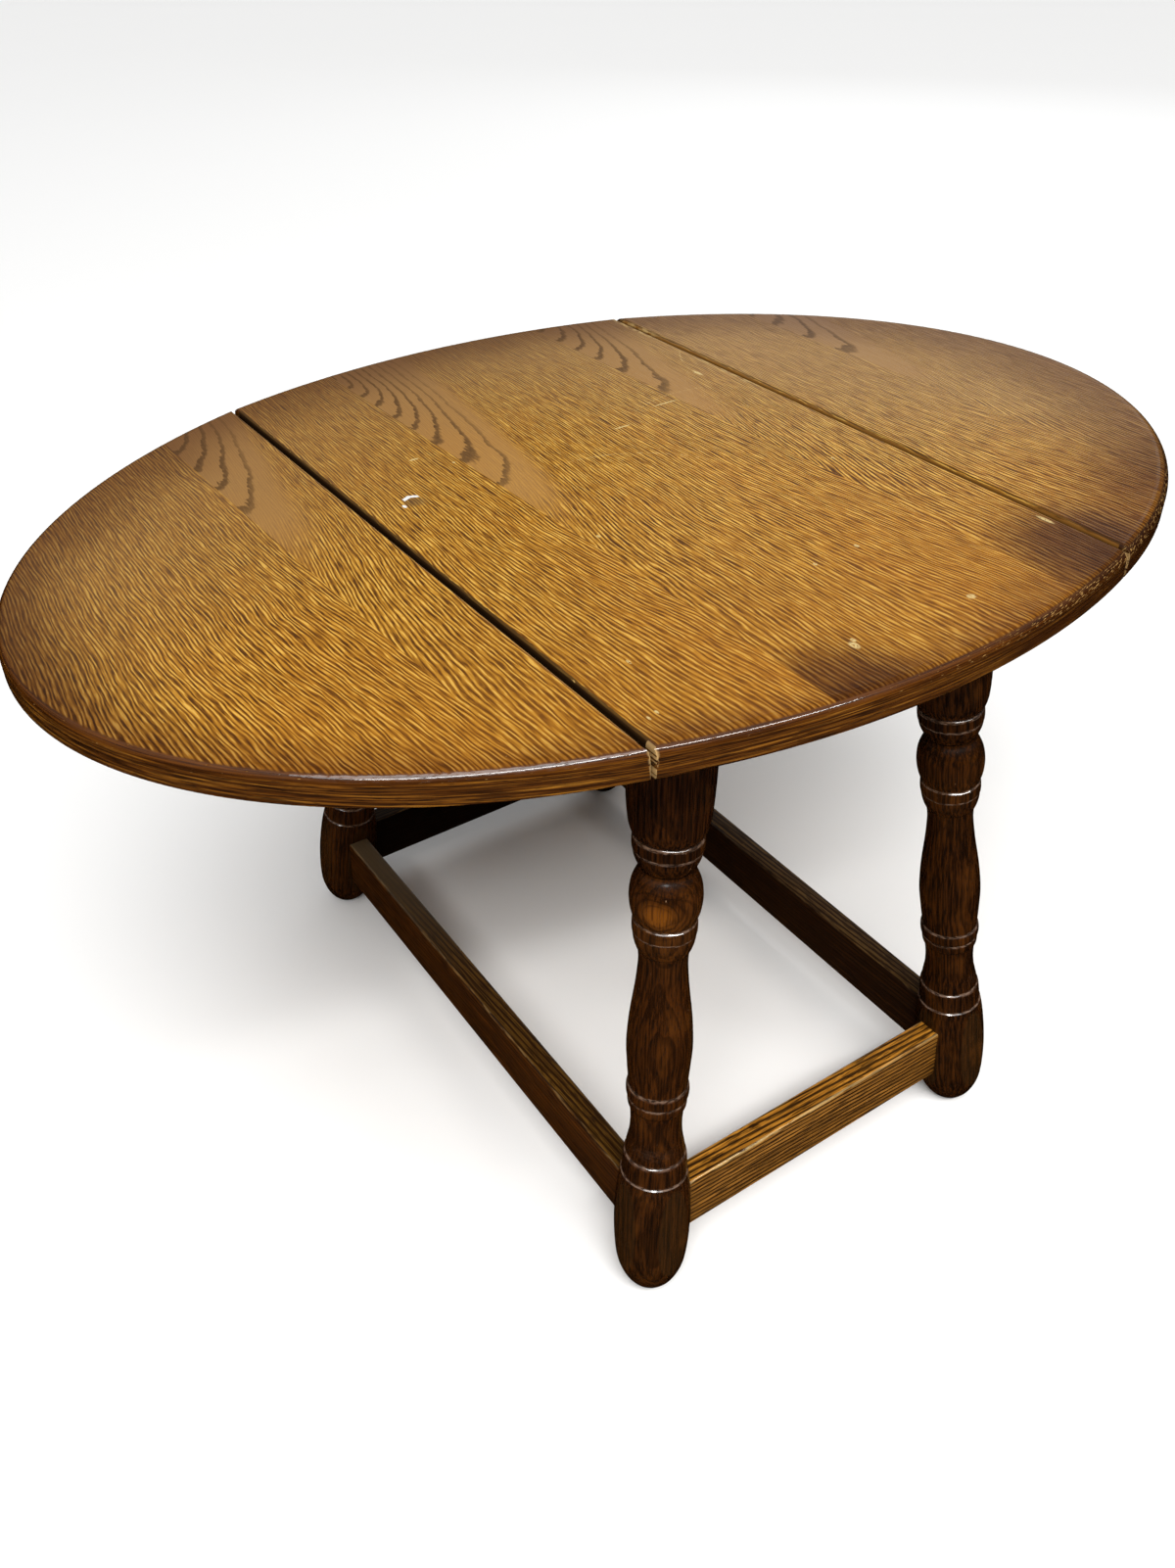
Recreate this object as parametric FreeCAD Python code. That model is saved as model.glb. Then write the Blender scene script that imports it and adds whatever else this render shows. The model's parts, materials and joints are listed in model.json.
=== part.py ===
import FreeCAD, Part
import math
import os

from FreeCAD import Placement, Rotation, Vector

# A low drop leaf side table in dark oak. An oval top in three boards stands on a frame of
# four splayed turned legs, tied by rails under the top and by stretchers near the floor.
# The outer boards are leaves on back flap hinges, held up by bearers that pull out of the frame.
# Millimetres. +X runs across the leaves, +Y along the hinge lines, +Z up.
# The origin is on the floor under the middle of the top. The front is towards -Y.

# Overall sizes
table_height = 450.0
top_length = 780.0
top_width = 550.0
board_thickness = 18.0
hinge_line_spacing = 331.0
leaf_gap = 2.4
leaf_droop_degrees = 1.55

# Edges of the top
lipping_width = 8.0
top_arris_radius = 5.8
under_arris_radius = 1.5
gap_arris_radius = 3.0

# Legs, turned from square stock
leg_stock = 44.0
leg_turned_radius = 24.5
leg_top_spacing_x = 201.0
foot_spacing_x = 276.0
leg_top_inset_y = 94.0
foot_inset_y = 51.0
leg_top_spacing_y = top_width - 2 * leg_top_inset_y
foot_spacing_y = top_width - 2 * foot_inset_y

# Rails under the top
rail_depth = 55.0
rail_thickness = 20.0
tenon_thickness = 8.0
tenon_shoulder = 8.0
tenon_stop = 8.0

# Stretchers near the floor
stretcher_lift = 32.0
stretcher_depth = 43.0
stretcher_thickness = 16.3
stretcher_arris_radius = 2.0
stretcher_shoulder = 7.0

# Pull-out bearers for the leaves
loper_width = 20.0
loper_depth = 22.0
loper_travel = 140.0
loper_nose = 14.0
loper_offset_near = 65.0
loper_offset_far = 95.0
loper_chamfer = 1.0
finger_cove_radius = 7.0
stop_dowel_radius = 3.0
stop_dowel_rise = 5.0
stop_groove_depth = 6.0
guide_offset = 40.0
guide_thickness = 18.0
guide_depth = 48.0
guide_housing = 5.0

# Blocks under the leaves that rest on the bearers
cleat_length = 24.0
cleat_width = 26.0
cleat_thickness = 8.0
cleat_screw_spacing = 14.0

# Blocks that fix the top to the rails
block_length = 40.0
block_width = 20.0
block_depth = 25.0
block_screw_offset = 10.0

# Back flap hinges
hinge_offset = 165.0
hinge_length = 40.0
flap_reach = 30.0
flap_thickness = 1.6
flap_corner = 3.0
knuckle_radius = 3.2
knuckle_count = 5
hinge_pin_radius = 1.5
hinge_screw_inset = 7.0

# Screws
hinge_screw_length = 12.0
hinge_screw_radius = 1.4
hinge_screw_head_radius = 2.7
block_screw_length = 36.0
block_screw_radius = 2.0
block_screw_head_radius = 3.9
cleat_screw_length = 19.0
cleat_screw_radius = 1.7
cleat_screw_head_radius = 3.3
screw_slot_width = 0.8
screw_slot_depth = 0.7

# Clearances
seat_gap = 0.3
joint_fit = 0.1
screw_fit = 0.05
pin_fit = 0.05
knuckle_end_gap = 0.2
knuckle_sweep_gap = 0.6
overrun = 20.0

# Turned profile of a leg, from the floor up: shares of the leg's length and of its radius.
# A curve runs smoothly through its points, and a bead is one arc through start, crown and end.
foot_shares = ("curve", (
    (-0.0140, 0.200), (0.0000, 0.460), (0.0180, 0.700), (0.0460, 0.886), (0.0850, 0.968),
    (0.1300, 0.990), (0.1720, 0.958), (0.1980, 0.914), (0.2155, 0.866)))
foot_band_shares = ("bead", ((0.2170, 0.838), (0.2350, 0.826), (0.2510, 0.785)))
lower_neck_shares = ("curve", (
    (0.2520, 0.766), (0.2620, 0.745), (0.2720, 0.712), (0.2860, 0.668), (0.3060, 0.648),
    (0.3240, 0.660), (0.3375, 0.688)))
lower_ring_shares = ("bead", ((0.3385, 0.704), (0.3460, 0.742), (0.3540, 0.722)))
vase_ring_shares = ("bead", ((0.3560, 0.742), (0.3650, 0.785), (0.3735, 0.752)))
vase_shares = ("curve", (
    (0.3750, 0.737), (0.3840, 0.745), (0.4120, 0.782), (0.4450, 0.808), (0.4900, 0.757),
    (0.5400, 0.646), (0.5760, 0.591), (0.5930, 0.596), (0.6020, 0.622)))
collar_shares = ("curve", (
    (0.6035, 0.640), (0.6100, 0.684), (0.6180, 0.722), (0.6260, 0.742), (0.6300, 0.734)))
ball_ring_shares = ("bead", ((0.6310, 0.752), (0.6400, 0.770), (0.6487, 0.752)))
ball_shares = ("curve", (
    (0.6497, 0.736), (0.6560, 0.772), (0.6680, 0.828), (0.6850, 0.856), (0.7030, 0.824),
    (0.7170, 0.738), (0.7250, 0.655), (0.7290, 0.630)))
under_block_ring_shares = ("curve", (
    (0.7305, 0.636), (0.7340, 0.678), (0.7400, 0.732), (0.7470, 0.778), (0.7530, 0.798),
    (0.7550, 0.788)))
block_ring_shares = ("bead", ((0.7565, 0.800), (0.7660, 0.832), (0.7755, 0.806)))
block_shares = ("curve", (
    (0.7770, 0.792), (0.7830, 0.852), (0.7900, 0.896), (0.8000, 0.934), (0.8200, 0.972),
    (0.8450, 0.998), (0.8750, 1.014), (0.9300, 1.030), (1.0000, 1.045)))
leg_profile_shares = (
    foot_shares, foot_band_shares, lower_neck_shares, lower_ring_shares, vase_ring_shares,
    vase_shares, collar_shares, ball_ring_shares, ball_shares, under_block_ring_shares,
    block_ring_shares, block_shares)

# Sizes worked out from the ones above
underside = table_height - board_thickness
hinge_x = hinge_line_spacing / 2
pin_drop = knuckle_radius + seat_gap
pin_z = underside - pin_drop
rail_bottom = underside - rail_depth
stretcher_top = stretcher_lift + stretcher_depth
knuckle_step = hinge_length / knuckle_count

os.makedirs("parts", exist_ok=True)
parts = {}


def box(x0, x1, y0, y1, z0, z1):
    return Part.makeBox(x1 - x0, y1 - y0, z1 - z0, Vector(x0, y0, z0))


def rod(radius, start, end):
    return Part.makeCylinder(radius, (end - start).Length, start, end - start)


def half_turn(shape):
    """The same piece on the opposite side: the table looks alike from both leaves."""
    turned = shape.copy()
    turned.rotate(Vector(0, 0, 0), Vector(0, 0, 1), 180)
    return turned


def group(shapes):
    return Part.Compound(shapes)


def long_edges(shape, axis):
    """The straight edges of a bar that run along its axis."""
    return [e for e in shape.Edges if abs(e.tangentAt(e.FirstParameter).dot(axis)) > 0.999]


# The top: one oval blank, ripped along the hinge lines
def oval_prism(length, width, z0, z1):
    outline = Part.Ellipse(Vector(0, 0, z0), length / 2, width / 2).toShape()
    return Part.Face(Part.Wire(outline)).extrude(Vector(0, 0, z1 - z0))


def oval_blank():
    blank = oval_prism(top_length, top_width, underside, table_height)
    rims = [e for e in blank.Edges if e.isClosed()]
    upper = [e for e in rims if e.BoundBox.ZMin > underside + board_thickness / 2]
    blank = blank.makeFillet(top_arris_radius, upper)
    rims = [e for e in blank.Edges if e.isClosed()]
    lower = [e for e in rims if e.BoundBox.ZMax < underside + board_thickness / 2]
    return blank.makeFillet(under_arris_radius, lower)


def arris_waste(edge_x, into):
    """What a round-over takes off the upper edge along a gap; into is +1 or -1, towards the wood."""
    inner_x = edge_x + into * gap_arris_radius
    reach = top_width / 2 + overrun
    waste = box(min(edge_x, inner_x), max(edge_x, inner_x), -reach, reach,
                table_height - gap_arris_radius, table_height)
    centre_z = table_height - gap_arris_radius
    return waste.cut(rod(gap_arris_radius, Vector(inner_x, -reach, centre_z),
                         Vector(inner_x, reach, centre_z)))


def board_between(blank, x0, x1):
    reach = top_width / 2 + overrun
    board = blank.common(box(x0, x1, -reach, reach, underside, table_height))
    for edge_x, into in ((x0, 1), (x1, -1)):
        if abs(edge_x) < top_length / 2:
            board = board.cut(arris_waste(edge_x, into))
    return board


def split_lipping(board):
    """The veneered board and the solid lipping round its curved edge."""
    inner = oval_prism(top_length - 2 * lipping_width, top_width - 2 * lipping_width,
                       underside, table_height)
    return board.common(inner), board.cut(inner)


def droop(shape):
    """A raised leaf sags a little, about its hinge pins."""
    sagging = shape.copy()
    sagging.rotate(Vector(hinge_x, 0, pin_z), Vector(0, 1, 0), leaf_droop_degrees)
    return sagging


# Legs
def leg_axis_at(z):
    """Half the spacing of the leg axes, in x and y, at a height."""
    share = z / underside
    x = (foot_spacing_x + (leg_top_spacing_x - foot_spacing_x) * share) / 2
    y = (foot_spacing_y + (leg_top_spacing_y - foot_spacing_y) * share) / 2
    return x, y


def leg_blank():
    """An upright leg on the Z axis: turned, and flat where the square stock was too small."""
    top_x, top_y = leg_axis_at(underside)
    foot_x, foot_y = leg_axis_at(0)
    length = Vector(foot_x - top_x, foot_y - top_y, underside).Length
    edges = []
    last = None
    for kind, marks in leg_profile_shares:
        points = [Vector(r * leg_turned_radius, 0, h * length) for h, r in marks]
        if last is not None:
            edges.append(Part.LineSegment(last, points[0]).toShape())
        if kind == "bead":
            edges.append(Part.Arc(*points).toShape())
        else:
            curve = Part.BSplineCurve()
            curve.interpolate(points)
            edges.append(curve.toShape())
        last = points[-1]
        if len(edges) == 1:
            first = points[0]
    top = length + overrun
    corners = [last, Vector(last.x, 0, top), Vector(0, 0, top), Vector(0, 0, first.z), first]
    for start, end in zip(corners, corners[1:]):
        edges.append(Part.LineSegment(start, end).toShape())
    profile = Part.Face(Part.Wire(edges))
    turned = profile.revolve(Vector(0, 0, 0), Vector(0, 0, 1), 360)
    half = leg_stock / 2
    return turned.common(box(-half, half, -half, half, -overrun, top + overrun))


def splayed_leg(blank, side_x, side_y):
    """A leg leaned out both ways, and cut level at the floor and under the top."""
    foot_x, foot_y = leg_axis_at(0)
    top_x, top_y = leg_axis_at(underside)
    foot = Vector(side_x * foot_x, side_y * foot_y, 0)
    lean = Vector(side_x * top_x, side_y * top_y, underside) - foot
    leg = blank.copy()
    leg.Placement = Placement(foot, Rotation(Vector(0, 0, 1), lean))
    reach = leg_stock + max(abs(lean.x), abs(lean.y))
    room = box(foot.x - reach, foot.x + reach, foot.y - reach, foot.y + reach, 0, underside)
    return leg.common(room)


# Rails and stretchers: bars between two legs, with a tenon at each end
def bar_sizes(z0, z1):
    return leg_axis_at((z0 + z1) / 2)


def bar(along, side, thickness, z0, z1, arris):
    """A bar from leg axis to leg axis, before its shoulders are scribed to the legs."""
    x, y = bar_sizes(z0, z1)
    half = thickness / 2
    if along == "y":
        blank = box(side * x - half, side * x + half, -y, y, z0, z1)
        axis = Vector(0, 1, 0)
    else:
        blank = box(-x, x, side * y - half, side * y + half, z0, z1)
        axis = Vector(1, 0, 0)
    if arris > 0:
        blank = blank.makeFillet(arris, long_edges(blank, axis))
    return blank


def tenon(along, side, z0, z1, shoulder, fit):
    """A slim bar that makes both tenons, or cuts both mortises when fit is more than zero."""
    x, y = bar_sizes(z0, z1)
    half = tenon_thickness / 2 + fit
    reach = fit - tenon_stop
    if along == "y":
        return box(side * x - half, side * x + half, -y - reach, y + reach,
                   z0 + shoulder - fit, z1 - shoulder + fit)
    return box(-x - reach, x + reach, side * y - half, side * y + half,
               z0 + shoulder - fit, z1 - shoulder + fit)


def tenoned_bar(legs, along, side, thickness, z0, z1, shoulder, arris):
    piece = bar(along, side, thickness, z0, z1, arris)
    for leg in legs:
        piece = piece.cut(leg)
    return piece.fuse(tenon(along, side, z0, z1, shoulder, 0)).removeSplitter()


# Pull-out bearers: the right hand pair, and their guides
guide_bottom = underside - guide_depth
rail_x, rail_y = bar_sizes(rail_bottom, underside)
rail_outer_x = rail_x + rail_thickness / 2
rail_inner_x = rail_x - rail_thickness / 2
end_rail_inner_y = rail_y - rail_thickness / 2
loper_tip_out = rail_outer_x + loper_nose + loper_travel
cleat_outer = loper_tip_out - hinge_x


def cleat_low_corner():
    """Height of the lowest edge of a cleat, under a leaf that has sagged."""
    angle = math.radians(leaf_droop_degrees)
    return pin_z + (pin_drop - cleat_thickness) * math.cos(angle) - cleat_outer * math.sin(angle)


loper_top = cleat_low_corner() - seat_gap
loper_bottom = loper_top - loper_depth
right_loper_places = (("front", -loper_offset_far), ("back", loper_offset_near))


def loper(y):
    half = loper_width / 2
    tip = rail_outer_x + loper_nose
    body = box(-rail_outer_x, tip, y - half, y + half, loper_bottom, loper_top)
    body = body.makeChamfer(loper_chamfer, body.Edges)
    cove_x = tip - 1.4 * finger_cove_radius
    cove = rod(finger_cove_radius, Vector(cove_x, y - loper_width, loper_bottom),
               Vector(cove_x, y + loper_width, loper_bottom))
    groove_half = stop_dowel_radius + seat_gap
    groove = box(guide_offset - loper_travel - groove_half, guide_offset + groove_half,
                 y - groove_half, y + groove_half,
                 loper_bottom - seat_gap, loper_bottom + stop_groove_depth)
    return body.cut(cove).cut(groove)


def loper_windows(x0, x1):
    """The holes that all four bearers pass through, in a rail or a guide between x0 and x1."""
    half = loper_width / 2 + seat_gap
    holes = []
    for side in (1, -1):
        for _, y in right_loper_places:
            holes.append(box(x0 - seat_gap, x1 + seat_gap, side * y - half, side * y + half,
                             loper_bottom - seat_gap, loper_top + seat_gap))
    return holes


def loper_guide():
    """A batten across the frame that steadies the inner ends of the bearers."""
    x0 = guide_offset - guide_thickness / 2
    x1 = guide_offset + guide_thickness / 2
    reach = end_rail_inner_y + guide_housing
    guide = box(x0, x1, -reach, reach, guide_bottom, underside)
    for hole in loper_windows(x0, x1):
        guide = guide.cut(hole)
    for dowel in stop_dowels(screw_fit):
        guide = guide.cut(dowel)
    return guide


def stop_dowels(fit):
    """Dowels in the right hand guide that ride in the grooves of the right hand bearers."""
    top = loper_bottom + stop_dowel_rise
    return [rod(stop_dowel_radius + fit, Vector(guide_offset, y, guide_bottom),
                Vector(guide_offset, y, top)) for _, y in right_loper_places]


def guide_housings():
    """Shallow housings for the ends of the right hand guide, in both end rails."""
    half = guide_thickness / 2 + joint_fit
    reach = end_rail_inner_y + guide_housing + joint_fit
    return box(guide_offset - half, guide_offset + half, -reach, reach,
               guide_bottom - joint_fit, underside)


# Screws: a countersunk head with a slot, then a plain shank
def screw(length, radius, head_radius, base, direction):
    """A screw whose head face is at base and whose point lies along direction."""
    head_depth = head_radius - radius
    head = Part.makeCone(head_radius, radius, head_depth)
    shank = Part.makeCylinder(radius, length - radius, Vector(0, 0, 0))
    point = Part.makeCone(radius, 0, radius, Vector(0, 0, length - radius))
    body = head.fuse(shank).fuse(point)
    half = screw_slot_width / 2
    body = body.cut(box(-half, half, -head_radius, head_radius, 0, screw_slot_depth))
    body.Placement = Placement(base, Rotation(Vector(0, 0, 1), direction))
    return body


def screw_hole(length, radius, head_radius, base, direction):
    head_depth = head_radius - radius
    head = Part.makeCone(head_radius + screw_fit, radius + screw_fit, head_depth)
    shank = Part.makeCylinder(radius + screw_fit, length + screw_fit, Vector(0, 0, 0))
    body = head.fuse(shank)
    body.Placement = Placement(base, Rotation(Vector(0, 0, 1), direction))
    return body


# Blocks that fix the top: one at the middle of each rail, screwed to the rail and to the top
block_screw_sizes = (block_screw_length, block_screw_radius, block_screw_head_radius)


def block_frames():
    """Name, centre of the face on the rail, direction into the rail, and direction along it."""
    mid_z = underside - block_depth / 2
    return (
        ("front", Vector(0, -end_rail_inner_y, mid_z), Vector(0, -1, 0), Vector(1, 0, 0)),
        ("back", Vector(0, end_rail_inner_y, mid_z), Vector(0, 1, 0), Vector(1, 0, 0)),
        ("left", Vector(-rail_inner_x, 0, mid_z), Vector(-1, 0, 0), Vector(0, 1, 0)),
        ("right", Vector(rail_inner_x, 0, mid_z), Vector(1, 0, 0), Vector(0, 1, 0)))


def block_screw_places():
    """For each block, an upright screw into the top and a level one into the rail."""
    places = []
    for name, face, into, along in block_frames():
        under = face - into * (block_width / 2) - Vector(0, 0, block_depth / 2)
        places.append((name, under + along * block_screw_offset, Vector(0, 0, 1)))
        inner = face - into * block_width
        places.append((name, inner - along * block_screw_offset, into))
    return places


def fixing_block(face, into, along):
    a = face - along * (block_length / 2) - Vector(0, 0, block_depth / 2)
    b = face + along * (block_length / 2) - into * block_width + Vector(0, 0, block_depth / 2)
    return box(min(a.x, b.x), max(a.x, b.x), min(a.y, b.y), max(a.y, b.y), a.z, b.z)


def drill(piece, places, sizes):
    """Cuts the screw holes that reach the piece."""
    for _, base, direction in places:
        hole = screw_hole(*sizes, base, direction)
        if hole.BoundBox.intersect(piece.BoundBox):
            piece = piece.cut(hole)
    return piece


# Back flap hinges on the right hand hinge line
def knuckles(y, moving, radius, end_gap):
    """The barrels of one flap; even ones belong to the fixed flap and odd ones to the moving one."""
    barrels = []
    for i in range(knuckle_count):
        if (i % 2 == 1) == moving:
            y0 = y - hinge_length / 2 + i * knuckle_step
            barrels.append(rod(radius, Vector(hinge_x, y0 + end_gap, pin_z),
                               Vector(hinge_x, y0 + knuckle_step - end_gap, pin_z)))
    return barrels


def flap_screw_places(y, side):
    """Three screws in a flap: two near its knuckles and one at its far end."""
    near = hinge_x + side * (knuckle_radius + hinge_screw_inset)
    far = hinge_x + side * (flap_reach - hinge_screw_inset)
    z = underside - flap_thickness
    across = hinge_length / 2 - hinge_screw_inset
    return [("flap", Vector(x, v, z), Vector(0, 0, 1))
            for x, v in ((near, y - across), (near, y + across), (far, y))]


hinge_screw_sizes = (hinge_screw_length, hinge_screw_radius, hinge_screw_head_radius)


def flap(y, side):
    """One flap under a board; side +1 is the leaf's flap and -1 is the fixed one."""
    moving = side > 0
    end = hinge_x + side * flap_reach
    plate = box(min(hinge_x, end), max(hinge_x, end), y - hinge_length / 2, y + hinge_length / 2,
                underside - flap_thickness, underside)
    corners = [e for e in long_edges(plate, Vector(0, 0, 1)) if abs(e.CenterOfMass.x - end) < flap_corner]
    plate = plate.makeFillet(flap_corner, corners)
    for sweep in knuckles(y, not moving, knuckle_radius + knuckle_sweep_gap, -knuckle_end_gap):
        plate = plate.cut(sweep)
    for barrel in knuckles(y, moving, knuckle_radius, knuckle_end_gap):
        plate = plate.fuse(barrel)
    plate = plate.cut(hinge_pin(y, pin_fit))
    return drill(plate.removeSplitter(), flap_screw_places(y, side), hinge_screw_sizes)


def hinge_pin(y, fit):
    half = hinge_length / 2 - knuckle_end_gap + fit
    return rod(hinge_pin_radius + fit, Vector(hinge_x, y - half, pin_z), Vector(hinge_x, y + half, pin_z))


# Cleats under the right hand leaf, above the tips of the bearers when these are out
cleat_screw_sizes = (cleat_screw_length, cleat_screw_radius, cleat_screw_head_radius)


def cleat_screw_places():
    x = loper_tip_out - cleat_length / 2
    z = underside - cleat_thickness
    offsets = (-cleat_screw_spacing / 2, cleat_screw_spacing / 2)
    return [("cleat", Vector(x, y + dy, z), Vector(0, 0, 1))
            for _, y in right_loper_places for dy in offsets]


def cleat(y):
    half = cleat_width / 2
    block = box(loper_tip_out - cleat_length, loper_tip_out, y - half, y + half,
                underside - cleat_thickness, underside)
    return drill(block, cleat_screw_places(), cleat_screw_sizes)


def screws(places, sizes):
    return [screw(*sizes, base, direction) for _, base, direction in places]


# Frame
def make_frame():
    blank = leg_blank()
    corners = {"front_left": (-1, -1), "front_right": (1, -1), "back_left": (-1, 1), "back_right": (1, 1)}
    plain = {name: splayed_leg(blank, *signs) for name, signs in corners.items()}
    legs = list(plain.values())
    mortises = []
    for prefix, thickness, z0, z1, shoulder, arris in (
            ("rail", rail_thickness, rail_bottom, underside, tenon_shoulder, 0),
            ("stretcher", stretcher_thickness, stretcher_lift, stretcher_top,
             stretcher_shoulder, stretcher_arris_radius)):
        for place, along, side in (("side", "y", -1), ("side", "y", 1), ("end", "x", -1), ("end", "x", 1)):
            names = {"y": ("left", "right"), "x": ("front", "back")}[along]
            node = place + "_" + prefix + "_" + names[side > 0]
            parts[node] = tenoned_bar(legs, along, side, thickness, z0, z1, shoulder, arris)
            mortises.append(tenon(along, side, z0, z1, shoulder, joint_fit))
    for name, leg in plain.items():
        for mortise in mortises:
            if mortise.BoundBox.intersect(leg.BoundBox):
                leg = leg.cut(mortise)
        parts["leg_" + name] = leg


def make_bearers():
    right_guide = loper_guide()
    parts["loper_guide_right"] = right_guide
    parts["loper_guide_left"] = half_turn(right_guide)
    for place, y in right_loper_places:
        piece = loper(y)
        opposite = {"front": "back", "back": "front"}[place]
        parts["loper_right_" + place] = piece
        parts["loper_left_" + opposite] = half_turn(piece)
    dowels = stop_dowels(0)
    parts["loper_stop_dowels"] = group(dowels + [half_turn(d) for d in dowels])
    housing = guide_housings()
    for node in ("end_rail_front", "end_rail_back"):
        parts[node] = parts[node].cut(housing).cut(half_turn(housing))
    for node, side in (("side_rail_left", -1), ("side_rail_right", 1)):
        x0, x1 = sorted((side * rail_inner_x, side * rail_outer_x))
        for hole in loper_windows(x0, x1):
            parts[node] = parts[node].cut(hole)


def make_top():
    blank = oval_blank()
    half_gap = leaf_gap / 2
    reach = top_length / 2 + overrun
    centre, centre_lipping = split_lipping(
        board_between(blank, -hinge_x + half_gap, hinge_x - half_gap))
    leaf, leaf_lipping = split_lipping(board_between(blank, hinge_x + half_gap, reach))
    width = top_width / 2 + overrun
    front = box(-hinge_x, hinge_x, -width, 0, underside, table_height)
    back = box(-hinge_x, hinge_x, 0, width, underside, table_height)
    parts["centre_lipping_front"] = centre_lipping.common(front)
    parts["centre_lipping_back"] = centre_lipping.common(back)
    for y in (-hinge_offset, hinge_offset):
        places = flap_screw_places(y, -1)
        centre = drill(centre, places, hinge_screw_sizes)
        turned_places = [(n, Vector(-b.x, -b.y, b.z), d) for n, b, d in places]
        centre = drill(centre, turned_places, hinge_screw_sizes)
        leaf = drill(leaf, flap_screw_places(y, 1), hinge_screw_sizes)
    leaf = drill(leaf, cleat_screw_places(), cleat_screw_sizes)
    parts["centre_board"] = drill(centre, block_screw_places(), block_screw_sizes)
    parts["right_leaf_board"] = droop(leaf)
    parts["left_leaf_board"] = half_turn(droop(leaf))
    parts["right_leaf_lipping"] = droop(leaf_lipping)
    parts["left_leaf_lipping"] = half_turn(droop(leaf_lipping))


def make_fixings():
    places = block_screw_places()
    for name, face, into, along in block_frames():
        own = [p for p in places if p[0] == name]
        parts["fixing_block_" + name] = drill(fixing_block(face, into, along), own, block_screw_sizes)
        node = {"front": "end_rail_front", "back": "end_rail_back",
                "left": "side_rail_left", "right": "side_rail_right"}[name]
        parts[node] = drill(parts[node], own[1:], block_screw_sizes)
    parts["fixing_block_screws"] = group(screws(places, block_screw_sizes))


def make_hinges():
    centre_screws = []
    leaf_screws = []
    for place, y in (("front", -hinge_offset), ("back", hinge_offset)):
        opposite = {"front": "back", "back": "front"}[place]
        fixed = flap(y, -1)
        moving = droop(flap(y, 1))
        pin = hinge_pin(y, 0)
        for shape, kind in ((fixed, "fixed_flap"), (moving, "moving_flap"), (pin, "pin")):
            parts["hinge_right_" + place + "_" + kind] = shape
            parts["hinge_left_" + opposite + "_" + kind] = half_turn(shape)
        centre_screws += screws(flap_screw_places(y, -1), hinge_screw_sizes)
        leaf_screws += [droop(s) for s in screws(flap_screw_places(y, 1), hinge_screw_sizes)]
    parts["hinge_screws_centre"] = group(centre_screws + [half_turn(s) for s in centre_screws])
    parts["hinge_screws_right_leaf"] = group(leaf_screws)
    parts["hinge_screws_left_leaf"] = group([half_turn(s) for s in leaf_screws])


def make_cleats():
    for place, y in right_loper_places:
        opposite = {"front": "back", "back": "front"}[place]
        piece = droop(cleat(y))
        parts["leaf_cleat_right_" + place] = piece
        parts["leaf_cleat_left_" + opposite] = half_turn(piece)
    cleat_screws = [droop(s) for s in screws(cleat_screw_places(), cleat_screw_sizes)]
    parts["cleat_screws_right"] = group(cleat_screws)
    parts["cleat_screws_left"] = group([half_turn(s) for s in cleat_screws])


make_frame()
make_bearers()
make_top()
make_fixings()
make_hinges()
make_cleats()

for node, shape in sorted(parts.items()):
    shape.exportStep("parts/" + node + ".step")
    print(node, len(shape.Solids), "solids", shape.isValid(), round(shape.Volume))
print(len(parts), "nodes")
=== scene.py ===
# %% [markdown]
# # Dressing a drop leaf side table
# The joinery of the table comes ready made: boards, legs, rails, hinges and bearers in their true
# sizes. This lesson gives it its looks: the turned legs and the stretchers are modelled again
# with a finer surface, and every piece gets the timber, polish and wear that long use has left
# on the real one.

# %% Load the joinery
import json
import math
import bmesh
import bpy
from mathutils import Matrix, Vector


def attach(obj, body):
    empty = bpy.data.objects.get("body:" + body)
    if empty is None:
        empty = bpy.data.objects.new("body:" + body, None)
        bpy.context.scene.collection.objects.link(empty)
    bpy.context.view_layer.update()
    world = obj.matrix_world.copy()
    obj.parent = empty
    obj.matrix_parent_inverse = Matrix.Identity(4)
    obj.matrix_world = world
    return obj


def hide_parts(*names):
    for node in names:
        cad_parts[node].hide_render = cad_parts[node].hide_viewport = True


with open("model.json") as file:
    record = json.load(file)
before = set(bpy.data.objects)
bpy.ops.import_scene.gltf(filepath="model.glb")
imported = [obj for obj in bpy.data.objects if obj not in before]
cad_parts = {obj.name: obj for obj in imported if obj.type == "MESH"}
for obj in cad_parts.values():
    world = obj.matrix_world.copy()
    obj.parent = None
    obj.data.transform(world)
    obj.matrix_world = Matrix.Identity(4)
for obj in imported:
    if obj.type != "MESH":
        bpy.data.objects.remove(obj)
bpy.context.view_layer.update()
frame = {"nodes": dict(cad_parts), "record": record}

nodes = frame["nodes"]
print("pieces of joinery:", len(nodes))

# %% [markdown]
# ## Camera
# The photograph looks down on the left front of the table from about standing height, close by.
# The camera stands where that view shows the leaf gaps, the rim and the feet in their true
# places. A lens shift keeps the crop of the photograph without tipping the camera. The angles are
# in radians.

# %% Set up the camera
picture_width, picture_height = 1200, 1601
lens_pixels = 1397.5
view_centre = (560.0, 700.0)
camera_place = Vector((-0.47185, -0.64581, 0.81424))
turn, tip, roll = 0.5634, 0.5824, 0.0236
film_width = 36.0

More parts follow.
